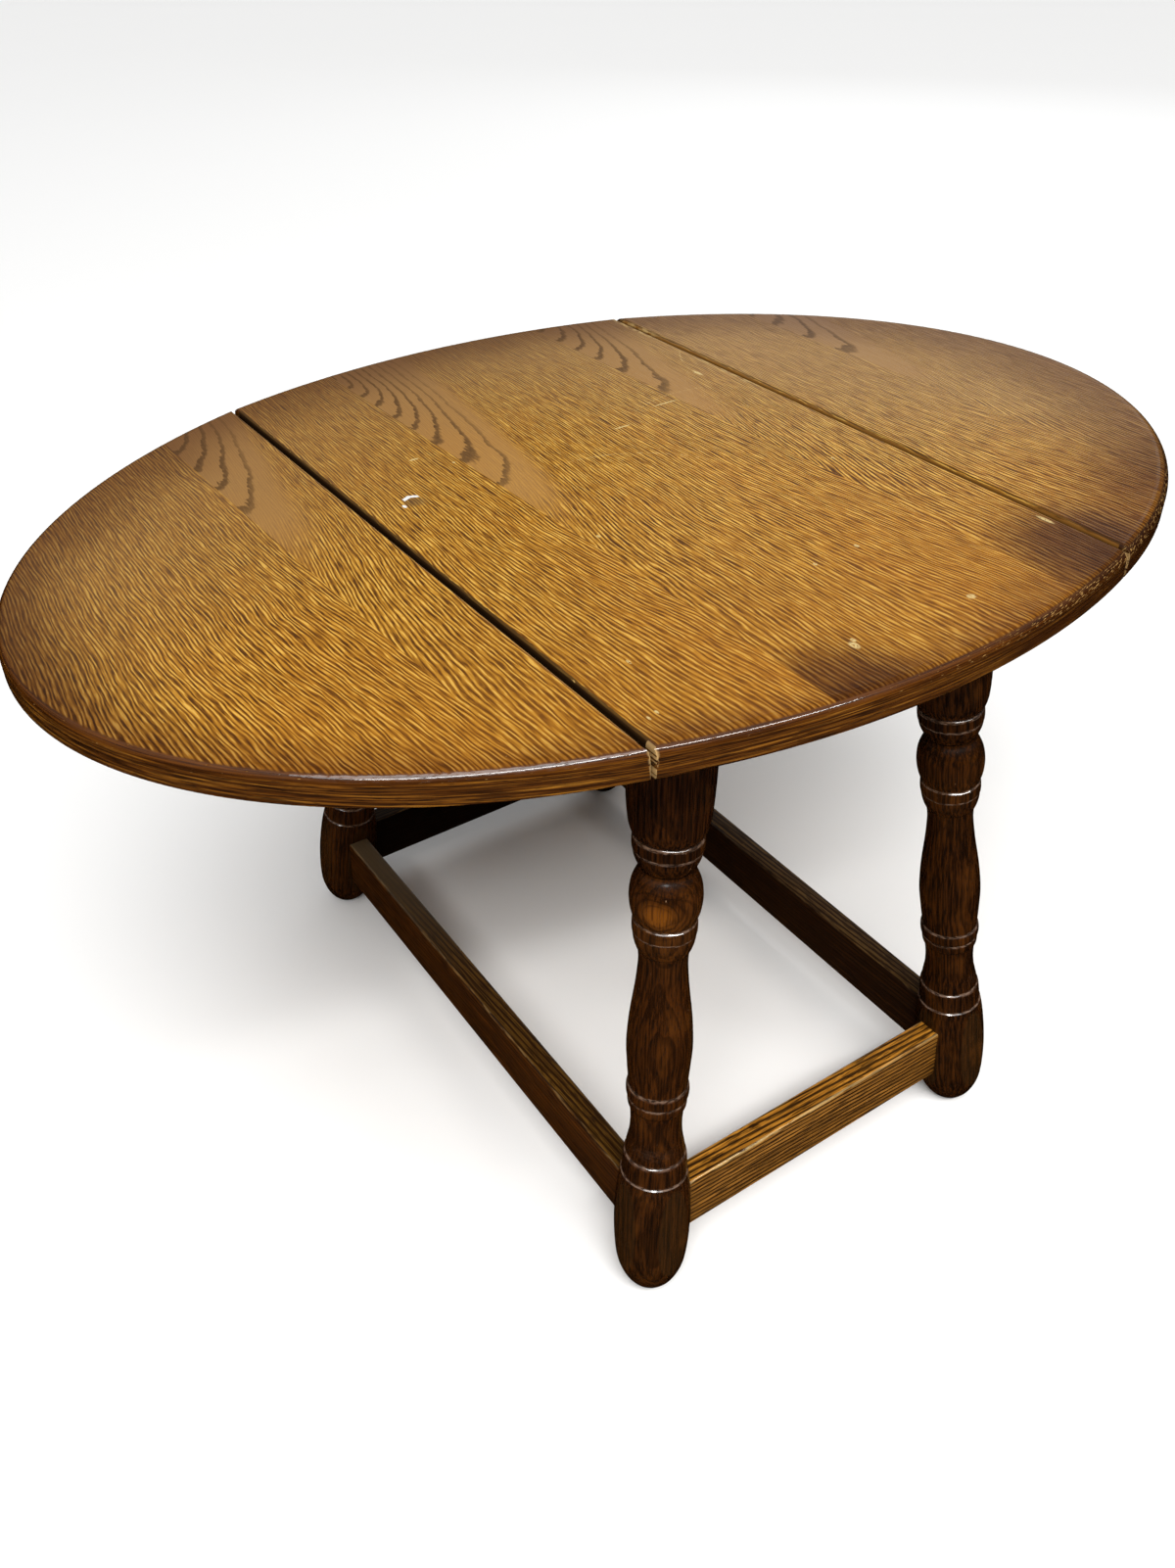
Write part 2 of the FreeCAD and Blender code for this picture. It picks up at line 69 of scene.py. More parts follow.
bpy.ops.object.select_all(action="DESELECT")
bpy.ops.object.camera_add(location=camera_place)
camera = bpy.context.object
camera.name = "photo_camera"
camera.matrix_world = (
    Matrix.Translation(camera_place) @ Matrix.Rotation(-turn, 4, "Z")
    @ Matrix.Rotation(math.pi / 2 - tip, 4, "X") @ Matrix.Rotation(-roll, 4, "Z"))
camera.data.sensor_width = film_width
camera.data.lens = film_width * lens_pixels / picture_height
camera.data.shift_x = (picture_width / 2 - view_centre[0]) / picture_height
camera.data.shift_y = (view_centre[1] - picture_height / 2) / picture_height
camera.data.clip_end = 60.0
bpy.context.scene.camera = camera
print("lens in mm:", round(camera.data.lens, 2))

# %% [markdown]
# ## Light and floor
# Polish shows only in what it mirrors, so the lamps are large soft panels, as in a photographer's
# studio. A long strip hangs in front of the table: the rounded rim and the shoulders of the beads
# mirror it as a thin bright line. A low panel behind the right leaf, like a window, lays a faint
# haze on the polish there. Dark polish at a low angle mirrors whatever stands opposite, and a
# white floor would turn it grey, so the floor and the backdrop are kept out of the mirror, and
# the air is dark at the horizon and bright overhead.

# %% Hang the lamps
deg = math.radians
top_middle = Vector((0.0, 0.0, 0.40))
cool_white, warm_white = (0.96, 0.98, 1.0), (1.0, 0.985, 0.96)


def soft_panel(name, place, width, height, power, tint):
    """A flat lamp that faces the middle of the top."""
    bpy.ops.object.light_add(type="AREA", location=place)
    lamp = bpy.context.object
    lamp.name = name
    lamp.data.shape = "RECTANGLE"
    lamp.data.size, lamp.data.size_y = width, height
    lamp.data.energy = power
    lamp.data.color = tint
    lamp.rotation_euler = (top_middle - Vector(place)).to_track_quat("-Z", "Y").to_euler()


soft_panel("window_panel", (2.9, 2.3, 1.5), 2.0, 1.3, 7.0, cool_white)
soft_panel("strip_panel", (-0.3, -1.6, 2.2), 3.2, 0.15, 50.0, warm_white)

bpy.ops.object.light_add(type="SUN", location=(-1.0, -1.0, 3.0))
ceiling = bpy.context.object
ceiling.name = "ceiling_light"
ceiling.data.energy = 2.06
ceiling.data.angle = deg(45)
ceiling.rotation_euler = Vector((-0.35, -0.45, 1.0)).to_track_quat("Z", "Y").to_euler()

# %% Make the air glow from above
scene = bpy.context.scene
scene.view_settings.view_transform = "Standard"
scene.world = bpy.data.worlds.new("studio_air")
scene.world.use_nodes = True
sky = scene.world.node_tree
air = sky.nodes["Background"]
air.inputs["Strength"].default_value = 0.62
direction = sky.nodes.new("ShaderNodeTexCoord")
height = sky.nodes.new("ShaderNodeSeparateXYZ")
shade = sky.nodes.new("ShaderNodeMapRange")
shade.inputs["From Min"].default_value = -0.10
squared = sky.nodes.new("ShaderNodeMath")
squared.operation = "POWER"
squared.inputs[1].default_value = 2.0
for source, goal in ((direction.outputs["Generated"], height.inputs[0]),
                     (height.outputs[2], shade.inputs["Value"]),
                     (shade.outputs[0], squared.inputs[0]),
                     (squared.outputs[0], air.inputs["Color"])):
    sky.links.new(source, goal)
print("steps in the air's colour:", len(sky.nodes))

# %% Lay the floor and stand the backdrop round it
floor_radius, backdrop_radius, backdrop_height, backdrop_sunk = 20.0, 19.9, 16.0, 0.05
circle_points = 96


def plain_paint(piece, name):
    """Paints a piece of the studio and returns the paint's sockets."""
    paint = bpy.data.materials.new(name)
    paint.use_nodes = True
    piece.data.materials.append(paint)
    return paint.node_tree.nodes["Principled BSDF"].inputs


bpy.ops.mesh.primitive_circle_add(vertices=circle_points, radius=floor_radius, fill_type="NGON")
floor = bpy.context.object
floor.name = "studio_floor"
floor.visible_glossy = False
pale = plain_paint(floor, "pale floor paint")
pale["Base Color"].default_value = (0.98, 0.98, 0.975, 1.0)
pale["Roughness"].default_value = 0.9

bpy.ops.mesh.primitive_circle_add(vertices=circle_points, radius=backdrop_radius,
                                  location=(0, 0, -backdrop_sunk))
backdrop = bpy.context.object
backdrop.name = "studio_backdrop"
bpy.ops.object.mode_set(mode="EDIT")
bpy.ops.mesh.extrude_region_move(TRANSFORM_OT_translate={"value": (0, 0, backdrop_height)})
bpy.ops.object.mode_set(mode="OBJECT")
for ray in ("diffuse", "glossy", "transmission", "volume_scatter", "shadow"):
    setattr(backdrop, "visible_" + ray, False)
glow = plain_paint(backdrop, "pale backdrop paper")
glow["Base Color"].default_value = (0.0, 0.0, 0.0, 1.0)
glow["Emission Color"].default_value = (0.86, 0.86, 0.855, 1.0)
glow["Emission Strength"].default_value = 1.0
print("studio:", floor.name, backdrop.name)

# %% [markdown]
# ## Mixing a finish
# Every finish below is built from the same few moves, so they get short names once: read the
# place on the piece in millimetres, do sums with it, look up a noise, and blend two stains.
# Working in millimetres keeps the grain at its true scale on every piece.

# %% Helpers for finishes
lamp_share = 0.79


def stain(red, green, blue):
    """A colour as the eye reads it, 0 to 255, as the light value it needs under these lamps."""
    def light(value):
        share = value / 255
        return share / 12.92 if share <= 0.04045 else ((share + 0.055) / 1.055) ** 2.4
    return (light(red) * lamp_share, light(green) * lamp_share, light(blue) * lamp_share, 1)


class Finish:
    """One finish on the mixing bench."""

    def __init__(self, name):
        self.material = bpy.data.materials.new(name)
        self.material.use_nodes = True
        self.tree = self.material.node_tree
        self.tree.nodes.clear()
        self.shader = self.node("ShaderNodeBsdfPrincipled")
        output = self.node("ShaderNodeOutputMaterial")
        self.tree.links.new(self.shader.outputs["BSDF"], output.inputs["Surface"])

    def node(self, kind, **settings):
        node = self.tree.nodes.new(kind)
        for key, value in settings.items():
            setattr(node, key, value)
        return node

    def put(self, socket, value):
        """Joins a step to a socket, or sets the socket; three numbers are a stain."""
        if isinstance(value, bpy.types.NodeSocket):
            self.tree.links.new(value, socket)
        elif isinstance(value, tuple) and len(value) == 3:
            socket.default_value = stain(*value)
        else:
            socket.default_value = value

    def sums(self, operation, *values):
        node = self.node("ShaderNodeMath", operation=operation)
        for socket, value in zip(node.inputs, values):
            self.put(socket, value)
        return node.outputs[0]

    def add(self, a, b):
        return self.sums("ADD", a, b)

    def less(self, a, b):
        return self.sums("SUBTRACT", a, b)

    def times(self, a, b):
        return self.sums("MULTIPLY", a, b)

    def over(self, a, b):
        return self.sums("DIVIDE", a, b)

    def size(self, a):
        return self.sums("ABSOLUTE", a)

    def place(self):
        """x, y and z on the piece, in millimetres."""
        scale = self.node("ShaderNodeVectorMath", operation="SCALE")
        self.put(scale.inputs[0], self.node("ShaderNodeTexCoord").outputs["Object"])
        scale.inputs["Scale"].default_value = 1000
        split = self.node("ShaderNodeSeparateXYZ")
        self.put(split.inputs[0], scale.outputs[0])
        return split.outputs[:3]

    def noise(self, x, y, z, detail, rough=0.5):
        """Soft patches; a pair is a place and how many millimetres a patch takes up there."""
        join = self.node("ShaderNodeCombineXYZ")
        for socket, value in zip(join.inputs, (x, y, z)):
            self.put(socket, self.over(*value) if isinstance(value, tuple) else value)
        node = self.node("ShaderNodeTexNoise")
        self.put(node.inputs["Vector"], join.outputs[0])
        for key, value in (("Scale", 1), ("Detail", detail), ("Roughness", rough)):
            node.inputs[key].default_value = value
        return node.outputs["Fac"]

    def steps(self, value, first, changes):
        """first, then each new level as value passes the next mark."""
        total, level = first, first
        for mark, new_level in changes:
            passed = self.sums("GREATER_THAN", value, mark)
            total = self.add(total, self.times(passed, new_level - level))
            level = new_level
        return total

    def ease(self, value, low, high, start=0, end=1):
        """Goes softly from start to end while value goes from low to high."""
        node = self.node("ShaderNodeMapRange", interpolation_type="SMOOTHSTEP")
        for socket, number in zip(node.inputs, (value, low, high, start, end)):
            self.put(socket, number)
        return node.outputs[0]

    def ramp(self, value, stops):
        """A colour that runs through the stops, each a place and a stain as the eye reads it."""
        node = self.node("ShaderNodeValToRGB")
        marks = node.color_ramp.elements
        while len(marks) < len(stops):
            marks.new(0.5)
        for mark, (at, colour) in zip(marks, stops):
            mark.position = at
            mark.color = stain(*colour)
        self.put(node.inputs[0], value)
        return node.outputs["Color"]

    def upward(self):
        """One where the surface faces up, nought where it stands upright."""
        split = self.node("ShaderNodeSeparateXYZ")
        self.put(split.inputs[0], self.node("ShaderNodeTexCoord").outputs["Normal"])
        return split.outputs[2]

    def blend(self, share, first, second, kind="MIX"):
        node = self.node("ShaderNodeMix", data_type="RGBA", blend_type=kind)
        self.put(node.inputs[0], share)
        self.put(node.inputs[6], first)
        self.put(node.inputs[7], second)
        return node.outputs[2]

    def spot(self, x, y, at, reach, edge=0.5):
        """One inside a small place on the board, and nothing outside it."""
        dx = self.over(self.less(x, at[0]), reach[0])
        dy = self.over(self.less(y, at[1]), reach[1])
        far = self.sums("SQRT", self.add(self.times(dx, dx), self.times(dy, dy)))
        return self.ease(far, 1, edge)

    def coat(self, colour, roughness, relief, depth, clear=0, clear_rough=0.1, gloss=0.5,
             clear_bend=1.7):
        """Sets stain, polish and relief in metres, with a clear gloss where clear is one."""
        for name, value in (("Base Color", colour), ("Roughness", roughness),
                            ("Specular IOR Level", gloss), ("Coat Weight", clear),
                            ("Coat Roughness", clear_rough), ("Coat IOR", clear_bend)):
            self.put(self.shader.inputs[name], value)
        bump = self.node("ShaderNodeBump")
        for name, value in (("Strength", 1), ("Distance", depth), ("Height", relief)):
            self.put(bump.inputs[name], value)
        self.put(self.shader.inputs["Normal"], bump.outputs[0])
        return self.material


# %% [markdown]
# ## Oak veneer for the three boards
# The real boards are faced with strips of crown cut oak, laid side by side, so the same figure
# comes back in every strip: arches at its left edge, then lines that lean and run straight. A saw
# that passes through the rings of a tree leaves lines that are parts of ellipses, so each place
# on a strip is given the size of the ellipse that it lies on, and lines and pores follow that
# number. A picture of wood would not do that.

# %% Find the growth ring at each place on a strip
strip_marks = (-221.5, -77, 101.5, 266)
strip_starts = (-432, -221.5, -77, 101.5, 266)
strip_drift = 0.022
heart_heights = (255, 312, 258, 322, 308)
heart_reach, heart_spread = 90, 255


def by_strip(f, x, levels):
    return f.steps(x, levels[0], list(zip(strip_marks, levels[1:])))


def growth_rings(f, x, y):
    """The distance from the heart of the tree, the grain line, the strip and the way across it."""
    x = f.add(x, f.times(y, strip_drift))
    strip = by_strip(f, x, (0, 1, 2, 3, 4))
    drift = f.less(f.noise((x, 60), (y, 100), f.add(3, f.times(strip, 9)), 1), 0.5)
    wave = f.less(f.noise((x, 11), (y, 26), f.add(7, f.times(strip, 9)), 1), 0.5)
    across = f.sums("MAXIMUM", f.less(x, by_strip(f, x, strip_starts)), 0)
    depth = f.sums("EXPONENT", f.over(f.less(y, by_strip(f, x, heart_heights)), heart_spread))
    depth = f.times(f.sums("MAXIMUM", f.less(1, depth), 0), heart_reach)
    ring = f.sums("SQRT", f.add(f.times(across, across), f.times(depth, depth)))
    ring = f.add(ring, f.add(f.times(drift, 9), f.times(wave, 2.6)))
    upper = f.sums("SMOOTH_MAX", y, -95, 90)
    lean = f.times(f.sums("EXPONENT", f.over(across, -70)), f.times(upper, -0.24))
    tail = f.times(f.ease(across, 60, 150), f.times(f.sums("MINIMUM", f.add(y, 40), 0), 0.09))
    wave_size = f.add(0.8, f.times(f.ease(across, 85, 125), f.ease(y, 60, -60, 0, 1.2)))
    line = f.add(f.add(across, lean), tail)
    line = f.add(line, f.add(f.times(drift, 8), f.times(wave, wave_size)))
    line = f.add(line, f.times(f.noise((x, 2.4), (y, 7), 5, 0), 0.4))
    return ring, line, strip, across


# %% Stain the veneer by its place on the top, with a painted sheen at the back
half_length, half_width, table_top, board_under = 390, 275, 450, 432
front_joints = (-71.7, 106.4)  # where a dark stain at the front edge ends on a joint of two strips
rim_tint, stain_tint = (0.4, 0.31, 0.34, 1), (0.26, 0.18, 0.18, 1)


def oval_reach(f, x, y):
    """Nought in the middle of the top and one on the rim."""
    return f.sums("SQRT", f.add(f.sums("POWER", f.over(x, half_length), 2),
                                f.sums("POWER", f.over(y, half_width), 2)))


def stain_and_sheen_by_place(f, x, y, across, colour):
    """Darker at the rim, richer at the strips' right ends, and greyer towards the back as a painted
    sheen.
    """
    cloud = f.noise((x, 60), (y, 80), 31, 2)
    ends = f.times(f.ease(across, 90, 120), f.ease(y, 60, -100, 0, 0.12))
    colour = f.blend(ends, colour, (206, 154, 58), "SOFT_LIGHT")
    colour = f.blend(f.ease(y, -60, -230, 0, 0.3), colour, (160, 98, 22))
    # Painted sheen: a grey haze laid over the back right and the back left of the top.
    painted_sheen = f.ease(f.add(x, f.times(y, 0.9)), 20, 330, 0, 0.62)
    colour = f.blend(painted_sheen, colour, (156, 122, 80))
    painted_sheen = f.ease(f.less(y, f.times(x, 0.5)), 40, 280, 0, 0.5)
    colour = f.blend(painted_sheen, colour, (134, 102, 70))
    reach = f.add(oval_reach(f, x, y), f.times(f.less(cloud, 0.5), 0.1))
    narrow = f.ease(f.add(x, f.times(y, 1.2)), -330, 0, 0.89, 0.72)
    colour = f.blend(f.ease(reach, narrow, 1, 0, 0.78), colour, rim_tint, "MULTIPLY")
    dark = f.times(f.spot(x, y, (-64, -266), (66, 60), 0.35),
                   f.sums("GREATER_THAN", x, front_joints[0]))
    deep_stain = f.times(f.spot(x, y, (152, -226), (70, 66), 0.25),
                         f.sums("GREATER_THAN", x, front_joints[1]))
    dark = f.sums("MAXIMUM", dark, deep_stain)
    dark = f.sums("MAXIMUM", dark, f.times(f.spot(x, y, (300, -200), (130, 90), 0.1), 0.5))
    dark = f.sums("MAXIMUM", dark, f.times(f.spot(x, y, (-390, 10), (80, 170), 0.1), 0.5))
    return f.blend(f.times(dark, 0.85), colour, stain_tint, "MULTIPLY")


# %% Draw the veneer's arches and strokes
arch_gap, line_gap = 6.4, 2.15


def arch_lines(f, x, y, ring, across):
    """The dark late wood of each ring where the cut is flat: arches with ragged edges."""
    jag = f.less(f.noise((x, 1.8), (y, 7), 11, 1), 0.5)
    part = f.sums("FRACT", f.add(f.over(ring, arch_gap), f.times(jag, 0.3)))
    arches = f.times(f.ease(part, 0.34, 0.2), f.ease(part, 0, 0.06))
    arches = f.times(arches, f.ease(across, 16, 46, 1, 0.55))
    return f.times(f.times(arches, f.ease(ring, 58, 50)), f.ease(jag, -0.2, 0.2, 0.75, 1))


def stroke_tone(f, x, y, line, strip, straight):
    """How light each stroke is, from nought in the pores to one on the brightest fibres."""
    wander = f.less(f.noise((line, 3.2), (y, 30), f.add(71, strip), 1), 0.5)
    beat = f.add(f.over(line, line_gap), f.times(wander, 1.5))
    beat = f.sums("COSINE", f.times(beat, 2 * math.pi))
    grain = f.noise((line, 1.1), (y, 20), f.times(strip, 7), 2, 0.6)
    vessel = f.noise((line, 0.8), (y, 18), f.add(50, strip), 1)
    strength = f.noise((line, 6), (y, 20), f.add(90, strip), 1)
    strength = f.ease(strength, 0.3, 0.7, 0.32, 0.44)
    tone = f.add(f.times(f.less(grain, 0.5), 1.05), f.times(beat, strength))
    tone = f.less(tone, f.ease(vessel, 0.5, 0.68, 0, 0.3))
    broken = f.noise((line, 1.7), (y, 9), f.add(130, strip), 1)
    tone = f.times(tone, f.ease(broken, 0.34, 0.56, 0.62, 1.3))
    calm = f.ease(f.add(x, f.times(y, 0.55)), -60, 210, 0.92, 1.35)
    return f.add(f.times(tone, f.times(calm, f.ease(straight, 0, 1, 0.34, 1))), 0.53)


def veneer_colour(f, x, y):
    """The stained veneer's colour and its tone."""
    ring, line, strip, across = growth_rings(f, x, y)
    straight = f.ease(ring, 53, 68)
    arches = arch_lines(f, x, y, ring, across)
    tone = stroke_tone(f, x, y, line, strip, straight)
    colour = f.ramp(tone, ((0, (78, 46, 14)), (0.25, (122, 78, 22)), (0.5, (164, 112, 33)),
                           (0.75, (202, 146, 52)), (1, (232, 184, 86))))
    colour = f.blend(f.ease(straight, 1, 0, 0, 0.62), colour, (180, 136, 80))
    bloom = f.noise((x, 30), (y, 70), f.add(strip, 61), 2)
    colour = f.blend(f.ease(bloom, 0.45, 0.75, 0, 0.08), colour, (184, 112, 32))
    colour = stain_and_sheen_by_place(f, x, y, across, colour)
    colour = f.blend(f.times(arches, 0.9), colour, (84, 58, 32))
    return colour, f.less(tone, f.times(arches, 0.5))


# %% [markdown]
# ## Wear on the boards
# A table that has been used is chipped, scratched and rubbed pale along the edges that hands and
# trays meet. The larger marks sit where the real ones are, and the fine ones are scattered by
# noise.

# %% Wear along the gaps
gap_x, line_blur = 165.5, 0.25
# Side of the table, start and end in millimetres out from the gap, colour, and what has lasted.
gap_lines = ((-1, -3, -0.5, (72, 50, 22), 0.9), (-1, 0.5, 2.2, (54, 28, 14), 0.8),
             (-1, 2.6, 3.2, (206, 168, 128), 0.45), (1, -3.1, -0.5, (70, 44, 18), 0.9),
             (1, 0.5, 2.6, (132, 88, 34), 0.9), (1, 3, 3.8, (66, 46, 20), 0.8))


def wear_along_gaps(f, x, y, ragged, beside, colour):
    """Dark and pale lines along each gap, and the bare wood where the right leaf has rubbed."""
    right = f.sums("GREATER_THAN", x, 0)
    left = f.less(1, right)
    edge = f.add(beside, f.times(f.less(ragged, 0.5), 1.6))
    for sign, start, end, paint, lasting in gap_lines:
        inside = f.times(f.ease(edge, start - line_blur, start + line_blur),
                         f.ease(edge, end + line_blur, end - line_blur))
        inside = f.times(right if sign > 0 else left, inside)
        colour = f.blend(f.times(inside, lasting), colour, paint)
    near = f.size(beside)
    torn_away = f.times(f.times(right, f.ease(near, 9, 3)),
                        f.sums("MAXIMUM", f.spot(x, y, (163, 215), (8, 40), 0.5),
                               f.spot(x, y, (160, 100), (7, 48), 0.5)))
    torn_away = f.times(torn_away, f.ease(ragged, 0.42, 0.56, 0, 0.8))
    colour = f.blend(torn_away, colour, (200, 168, 108))
    edge_wear = f.times(f.ease(near, 4, 2.6), f.ease(ragged, 0.68, 0.76))
    return f.blend(edge_wear, colour, (204, 166, 96))


# %% Chips and scratches
chip_x = -132
# Place and reach of each pale mark, then place, half length and slope of each scratch.
pale_marks = (
    (-30, -235, 2.8, 4.6), (-27, -231, 1.6, 2.4), (-147, -226, 1, 2.2), (-153, -228, 0.9, 2.2),
    (-103, 95, 4.4, 1.6), (-84, 76, 1.2, 1.6), (-67, -63, 1.4, 2), (46, -157, 1.6, 2.4),
    (-132, -183, 1.2, 2.6), (87, 77, 13, 1.1), (38, 60, 8, 1.3), (158, -196, 1.8, 8),
    (12, -160, 1.4, 2), (55, -234, 3.2, 3), (142, 110, 2, 7), (118, -60, 1.2, 2.2))
scratches = ((96, 88, 40, 0.1), (20, 20, 60, -0.62), (150, 140, 26, 1.9))


def chipped(f, x, y, ragged, colour):
    """The larger pale marks, and the white chip with its smear on the middle board."""
    marks = 0
    for at_x, at_y, reach_x, reach_y in pale_marks:
        marks = f.sums("MAXIMUM", marks, f.spot(x, y, (at_x, at_y), (reach_x, reach_y)))
    torn = f.ease(f.noise((x, 1.3), (y, 1.3), 43, 2), 0.34, 0.46)
    colour = f.blend(f.times(f.times(marks, torn), 0.85), colour, (222, 196, 134))
    smear = f.spot(x, y, (chip_x, 39), (10, 9), 0.3)
    colour = f.blend(f.times(smear, 0.6), colour, (104, 78, 48))
    beside_chip = f.size(f.less(x, chip_x))
    roof = f.size(f.add(f.less(y, 47.6), f.times(beside_chip, 0.5)))
    roof = f.add(roof, f.times(f.less(ragged, 0.5), 1.6))
    chip = f.times(f.ease(roof, 1.9, 1.3), f.ease(beside_chip, 5.6, 4.8))
    chip = f.sums("MAXIMUM", chip, f.spot(x, y, (-140.6, 37), (1.5, 2.6), 0.6))
    return f.blend(chip, colour, (242, 242, 240))


def scratched(f, x, y, ragged, colour):
    """Long shallow arcs, broken where the scratch skipped, and fine pale specks."""
    for at_x, at_y, reach, slope in scratches:
        ahead, aside = math.cos(math.atan(slope)), math.sin(math.atan(slope))
        right_by, up_by = f.less(x, at_x), f.less(y, at_y)
        along = f.add(f.times(right_by, ahead), f.times(up_by, aside))
        away = f.less(f.times(up_by, ahead), f.times(right_by, aside))
        away = f.add(away, f.times(f.times(along, along), 0.006))
        line = f.times(f.ease(f.size(away), 0.7, 0.2), f.ease(f.size(along), reach, reach * 0.6))
        line = f.times(line, f.ease(ragged, 0.42, 0.6, 0, 0.55))
        colour = f.blend(line, colour, (214, 182, 120))
    dust = f.noise((x, 2.4), (y, 3.6), 47, 2)
    return f.blend(f.ease(dust, 0.775, 0.81, 0, 0.55), colour, (208, 172, 110))


# %% Put the wear and the painted shade of the gaps together
def gap_faces_with_painted_shade(f, x, y, z, beside, colour):
    """The upright faces inside the gaps, painted dark as shade, and browner as painted light on the
    right leaf's face.
    """
    under_edge = f.ease(z, table_top - 0.7, table_top - 1.4)
    inner = f.times(f.ease(f.size(beside), 2.2, 1.6), under_edge)
    streak = f.noise((z, 1.4), (y, 22), 51, 2)
    # Painted light and shade: a brown lit copy for the right leaf's face and a near black shaded
    # copy for the others.
    bright = f.blend(streak, (74, 45, 14), (140, 94, 38))
    dull = f.blend(streak, (22, 12, 5), (56, 36, 16))
    leaf_face = f.times(f.sums("GREATER_THAN", x, 0), f.sums("GREATER_THAN", beside, 0))
    return f.blend(inner, colour, f.blend(leaf_face, dull, bright))


def wear_and_gap_shade_on_top(f, x, y, z, colour):
    ragged = f.noise((x, 2.2), (y, 8), 41, 3)
    beside = f.less(f.size(x), gap_x)
    colour = wear_along_gaps(f, x, y, ragged, beside, colour)
    colour = chipped(f, x, y, ragged, colour)
    colour = scratched(f, x, y, ragged, colour)
    return gap_faces_with_painted_shade(f, x, y, z, beside, colour)


# %% Mix the veneer
def oak_veneer():
    f = Finish("oak veneer, stained and lacquered")
    x, y, z = f.place()
    colour, tone = veneer_colour(f, x, y)
    colour = wear_and_gap_shade_on_top(f, x, y, z, colour)
    cloud = f.noise((x, 90), (y, 120), 31, 2)
    polish = f.add(f.ease(tone, 0.2, 0.7, 0.46, 0.34), f.times(f.less(cloud, 0.5), 0.1))
    return f.coat(colour, polish, tone, 0.00006, gloss=0.12)


veneer = oak_veneer()
print("veneer is made of", len(veneer.node_tree.nodes), "steps")

# %% [markdown]
# ## Solid lipping round the rim
# The curved edge of each board is a strip of solid oak, so its grain runs along the rim. The
# place along the rim and the place round the rim's section are worked out from the oval itself:
# the veneer runs on over the flat of the lipping, then comes a dark rounded corner, and then the
# streaked upright face. The corner was handled and waxed most, so only it has the clear gloss
# that mirrors the lamps.

# %% Streaks and bare corners for the lipping
rim_radius = 330


def streaked_face(f, x, along, section):
    """The upright face: bands, fine lines and pores along the rim, darker towards the right."""
    band = f.noise((along, 60), (section, 1.3), 3, 3)
    line = f.noise((along, 24), (section, 0.55), 5, 2)
    pore = f.noise((along, 7), (section, 0.8), 9, 1)
    face = f.ramp(band, ((0.3, (38, 17, 3)), (0.46, (80, 42, 8)), (0.6, (122, 74, 18)),
                         (0.74, (166, 112, 36))))
    face = f.blend(f.ease(line, 0.46, 0.6, 0, 0.85), face, (34, 15, 3))
    face = f.blend(f.ease(pore, 0.6, 0.72, 0, 0.6), face, (34, 16, 6))
    face = f.blend(f.ease(x, -140, 200, 0, 0.7), face, (44, 20, 7))
    return face, band, line, pore


def bare_by_gap(f, x, y, z, colour):
    """Bare wood on the front corners at the gaps, wider towards the top."""
    from_gap = f.size(f.less(f.size(x), gap_x))
    ragged = f.noise((x, 1.6), (z, 3.2), 21, 3)
    reach = f.ease(z, board_under, table_top - 3, 1.5, 3.3)
    in_front = f.sums("LESS_THAN", y, 0)
    bare = f.times(f.ease(from_gap, reach, 1.2), f.times(f.ease(ragged, 0.45, 0.53), in_front))
    return f.blend(f.times(bare, 0.8), colour, (206, 168, 110))


# %% Mix the lipping
def oak_lipping():
    f = Finish("oak lipping, dark and glossy")
    x, y, z = f.place()
    angle = f.sums("ARCTAN2", f.over(y, half_width), f.over(x, half_length))
    along = f.times(angle, rim_radius)
    inside = f.times(f.less(1, oval_reach(f, x, y)), rim_radius)
    section = f.less(f.less(table_top, z), inside)
    flat = wear_and_gap_shade_on_top(f, x, y, z, veneer_colour(f, x, y)[0])
    face, band, line, pore = streaked_face(f, x, along, section)
    up = f.upward()
    corner = f.blend(f.ease(band, 0.35, 0.65), (54, 25, 4), (98, 54, 12))
    corner = f.blend(f.ease(x, 0, 200, 0, 0.8), corner, (34, 14, 7))
    colour = f.blend(f.ease(up, 0.1, 0.45), face, corner)
    colour = f.blend(f.ease(up, 0.97, 0.84), flat, colour)
    scuff = f.noise((f.add(along, f.times(section, 2.5)), 3), (section, 1.2), 19, 3)
    worn = f.times(f.ease(up, 0, 0.3), f.ease(up, 0.98, 0.7))
    more = f.ease(x, -60, 120, 0, 0.12)
    worn = f.times(worn, f.ease(f.add(scuff, more), 0.68, 0.76, 0, 0.85))
    colour = f.blend(worn, colour, (196, 152, 88))
    colour = bare_by_gap(f, x, y, z, colour)
    polish = f.ease(line, 0.4, 0.7, 0.22, 0.34)
    relief = f.less(0.5, f.ease(pore, 0.55, 0.75))
    shine = f.times(f.ease(up, 0.1, 0.45), f.ease(up, 0.95, 0.82))
    shine = f.times(f.times(shine, f.ease(scuff, 0.66, 0.56)), f.ease(x, 60, 150, 1, 0.35))
    return f.coat(colour, polish, relief, 0.00005, clear=shine, clear_rough=0.055, gloss=0.08,
                  clear_bend=1.52)


lipping = oak_lipping()
print("lipping is made of", len(lipping.node_tree.nodes), "steps")

# %% [markdown]
# ## Dark oak for the turnings
# A turner cuts through the growth rings of a square post, so every swelling shows its own arched
# figure. The rings are therefore solid: circles round the heart of the tree, which lies beside
# each leg. The stain is nearly black under the top and browner on the ball and the vase, and the
# legs on the right are mixed darker still as painted shade. The shoulders of the beads, which face
# up, carry the gloss and the pale line that the eye finds first, partly rubbed wear and partly a
# painted highlight.

# %% Find the place on a leaning leg
foot_x, foot_y, shoulder_x, shoulder_y = 138, 224, 100.5, 181
leg_lean_x, leg_lean_y = (foot_x - shoulder_x) / board_under, (foot_y - shoulder_y) / board_under


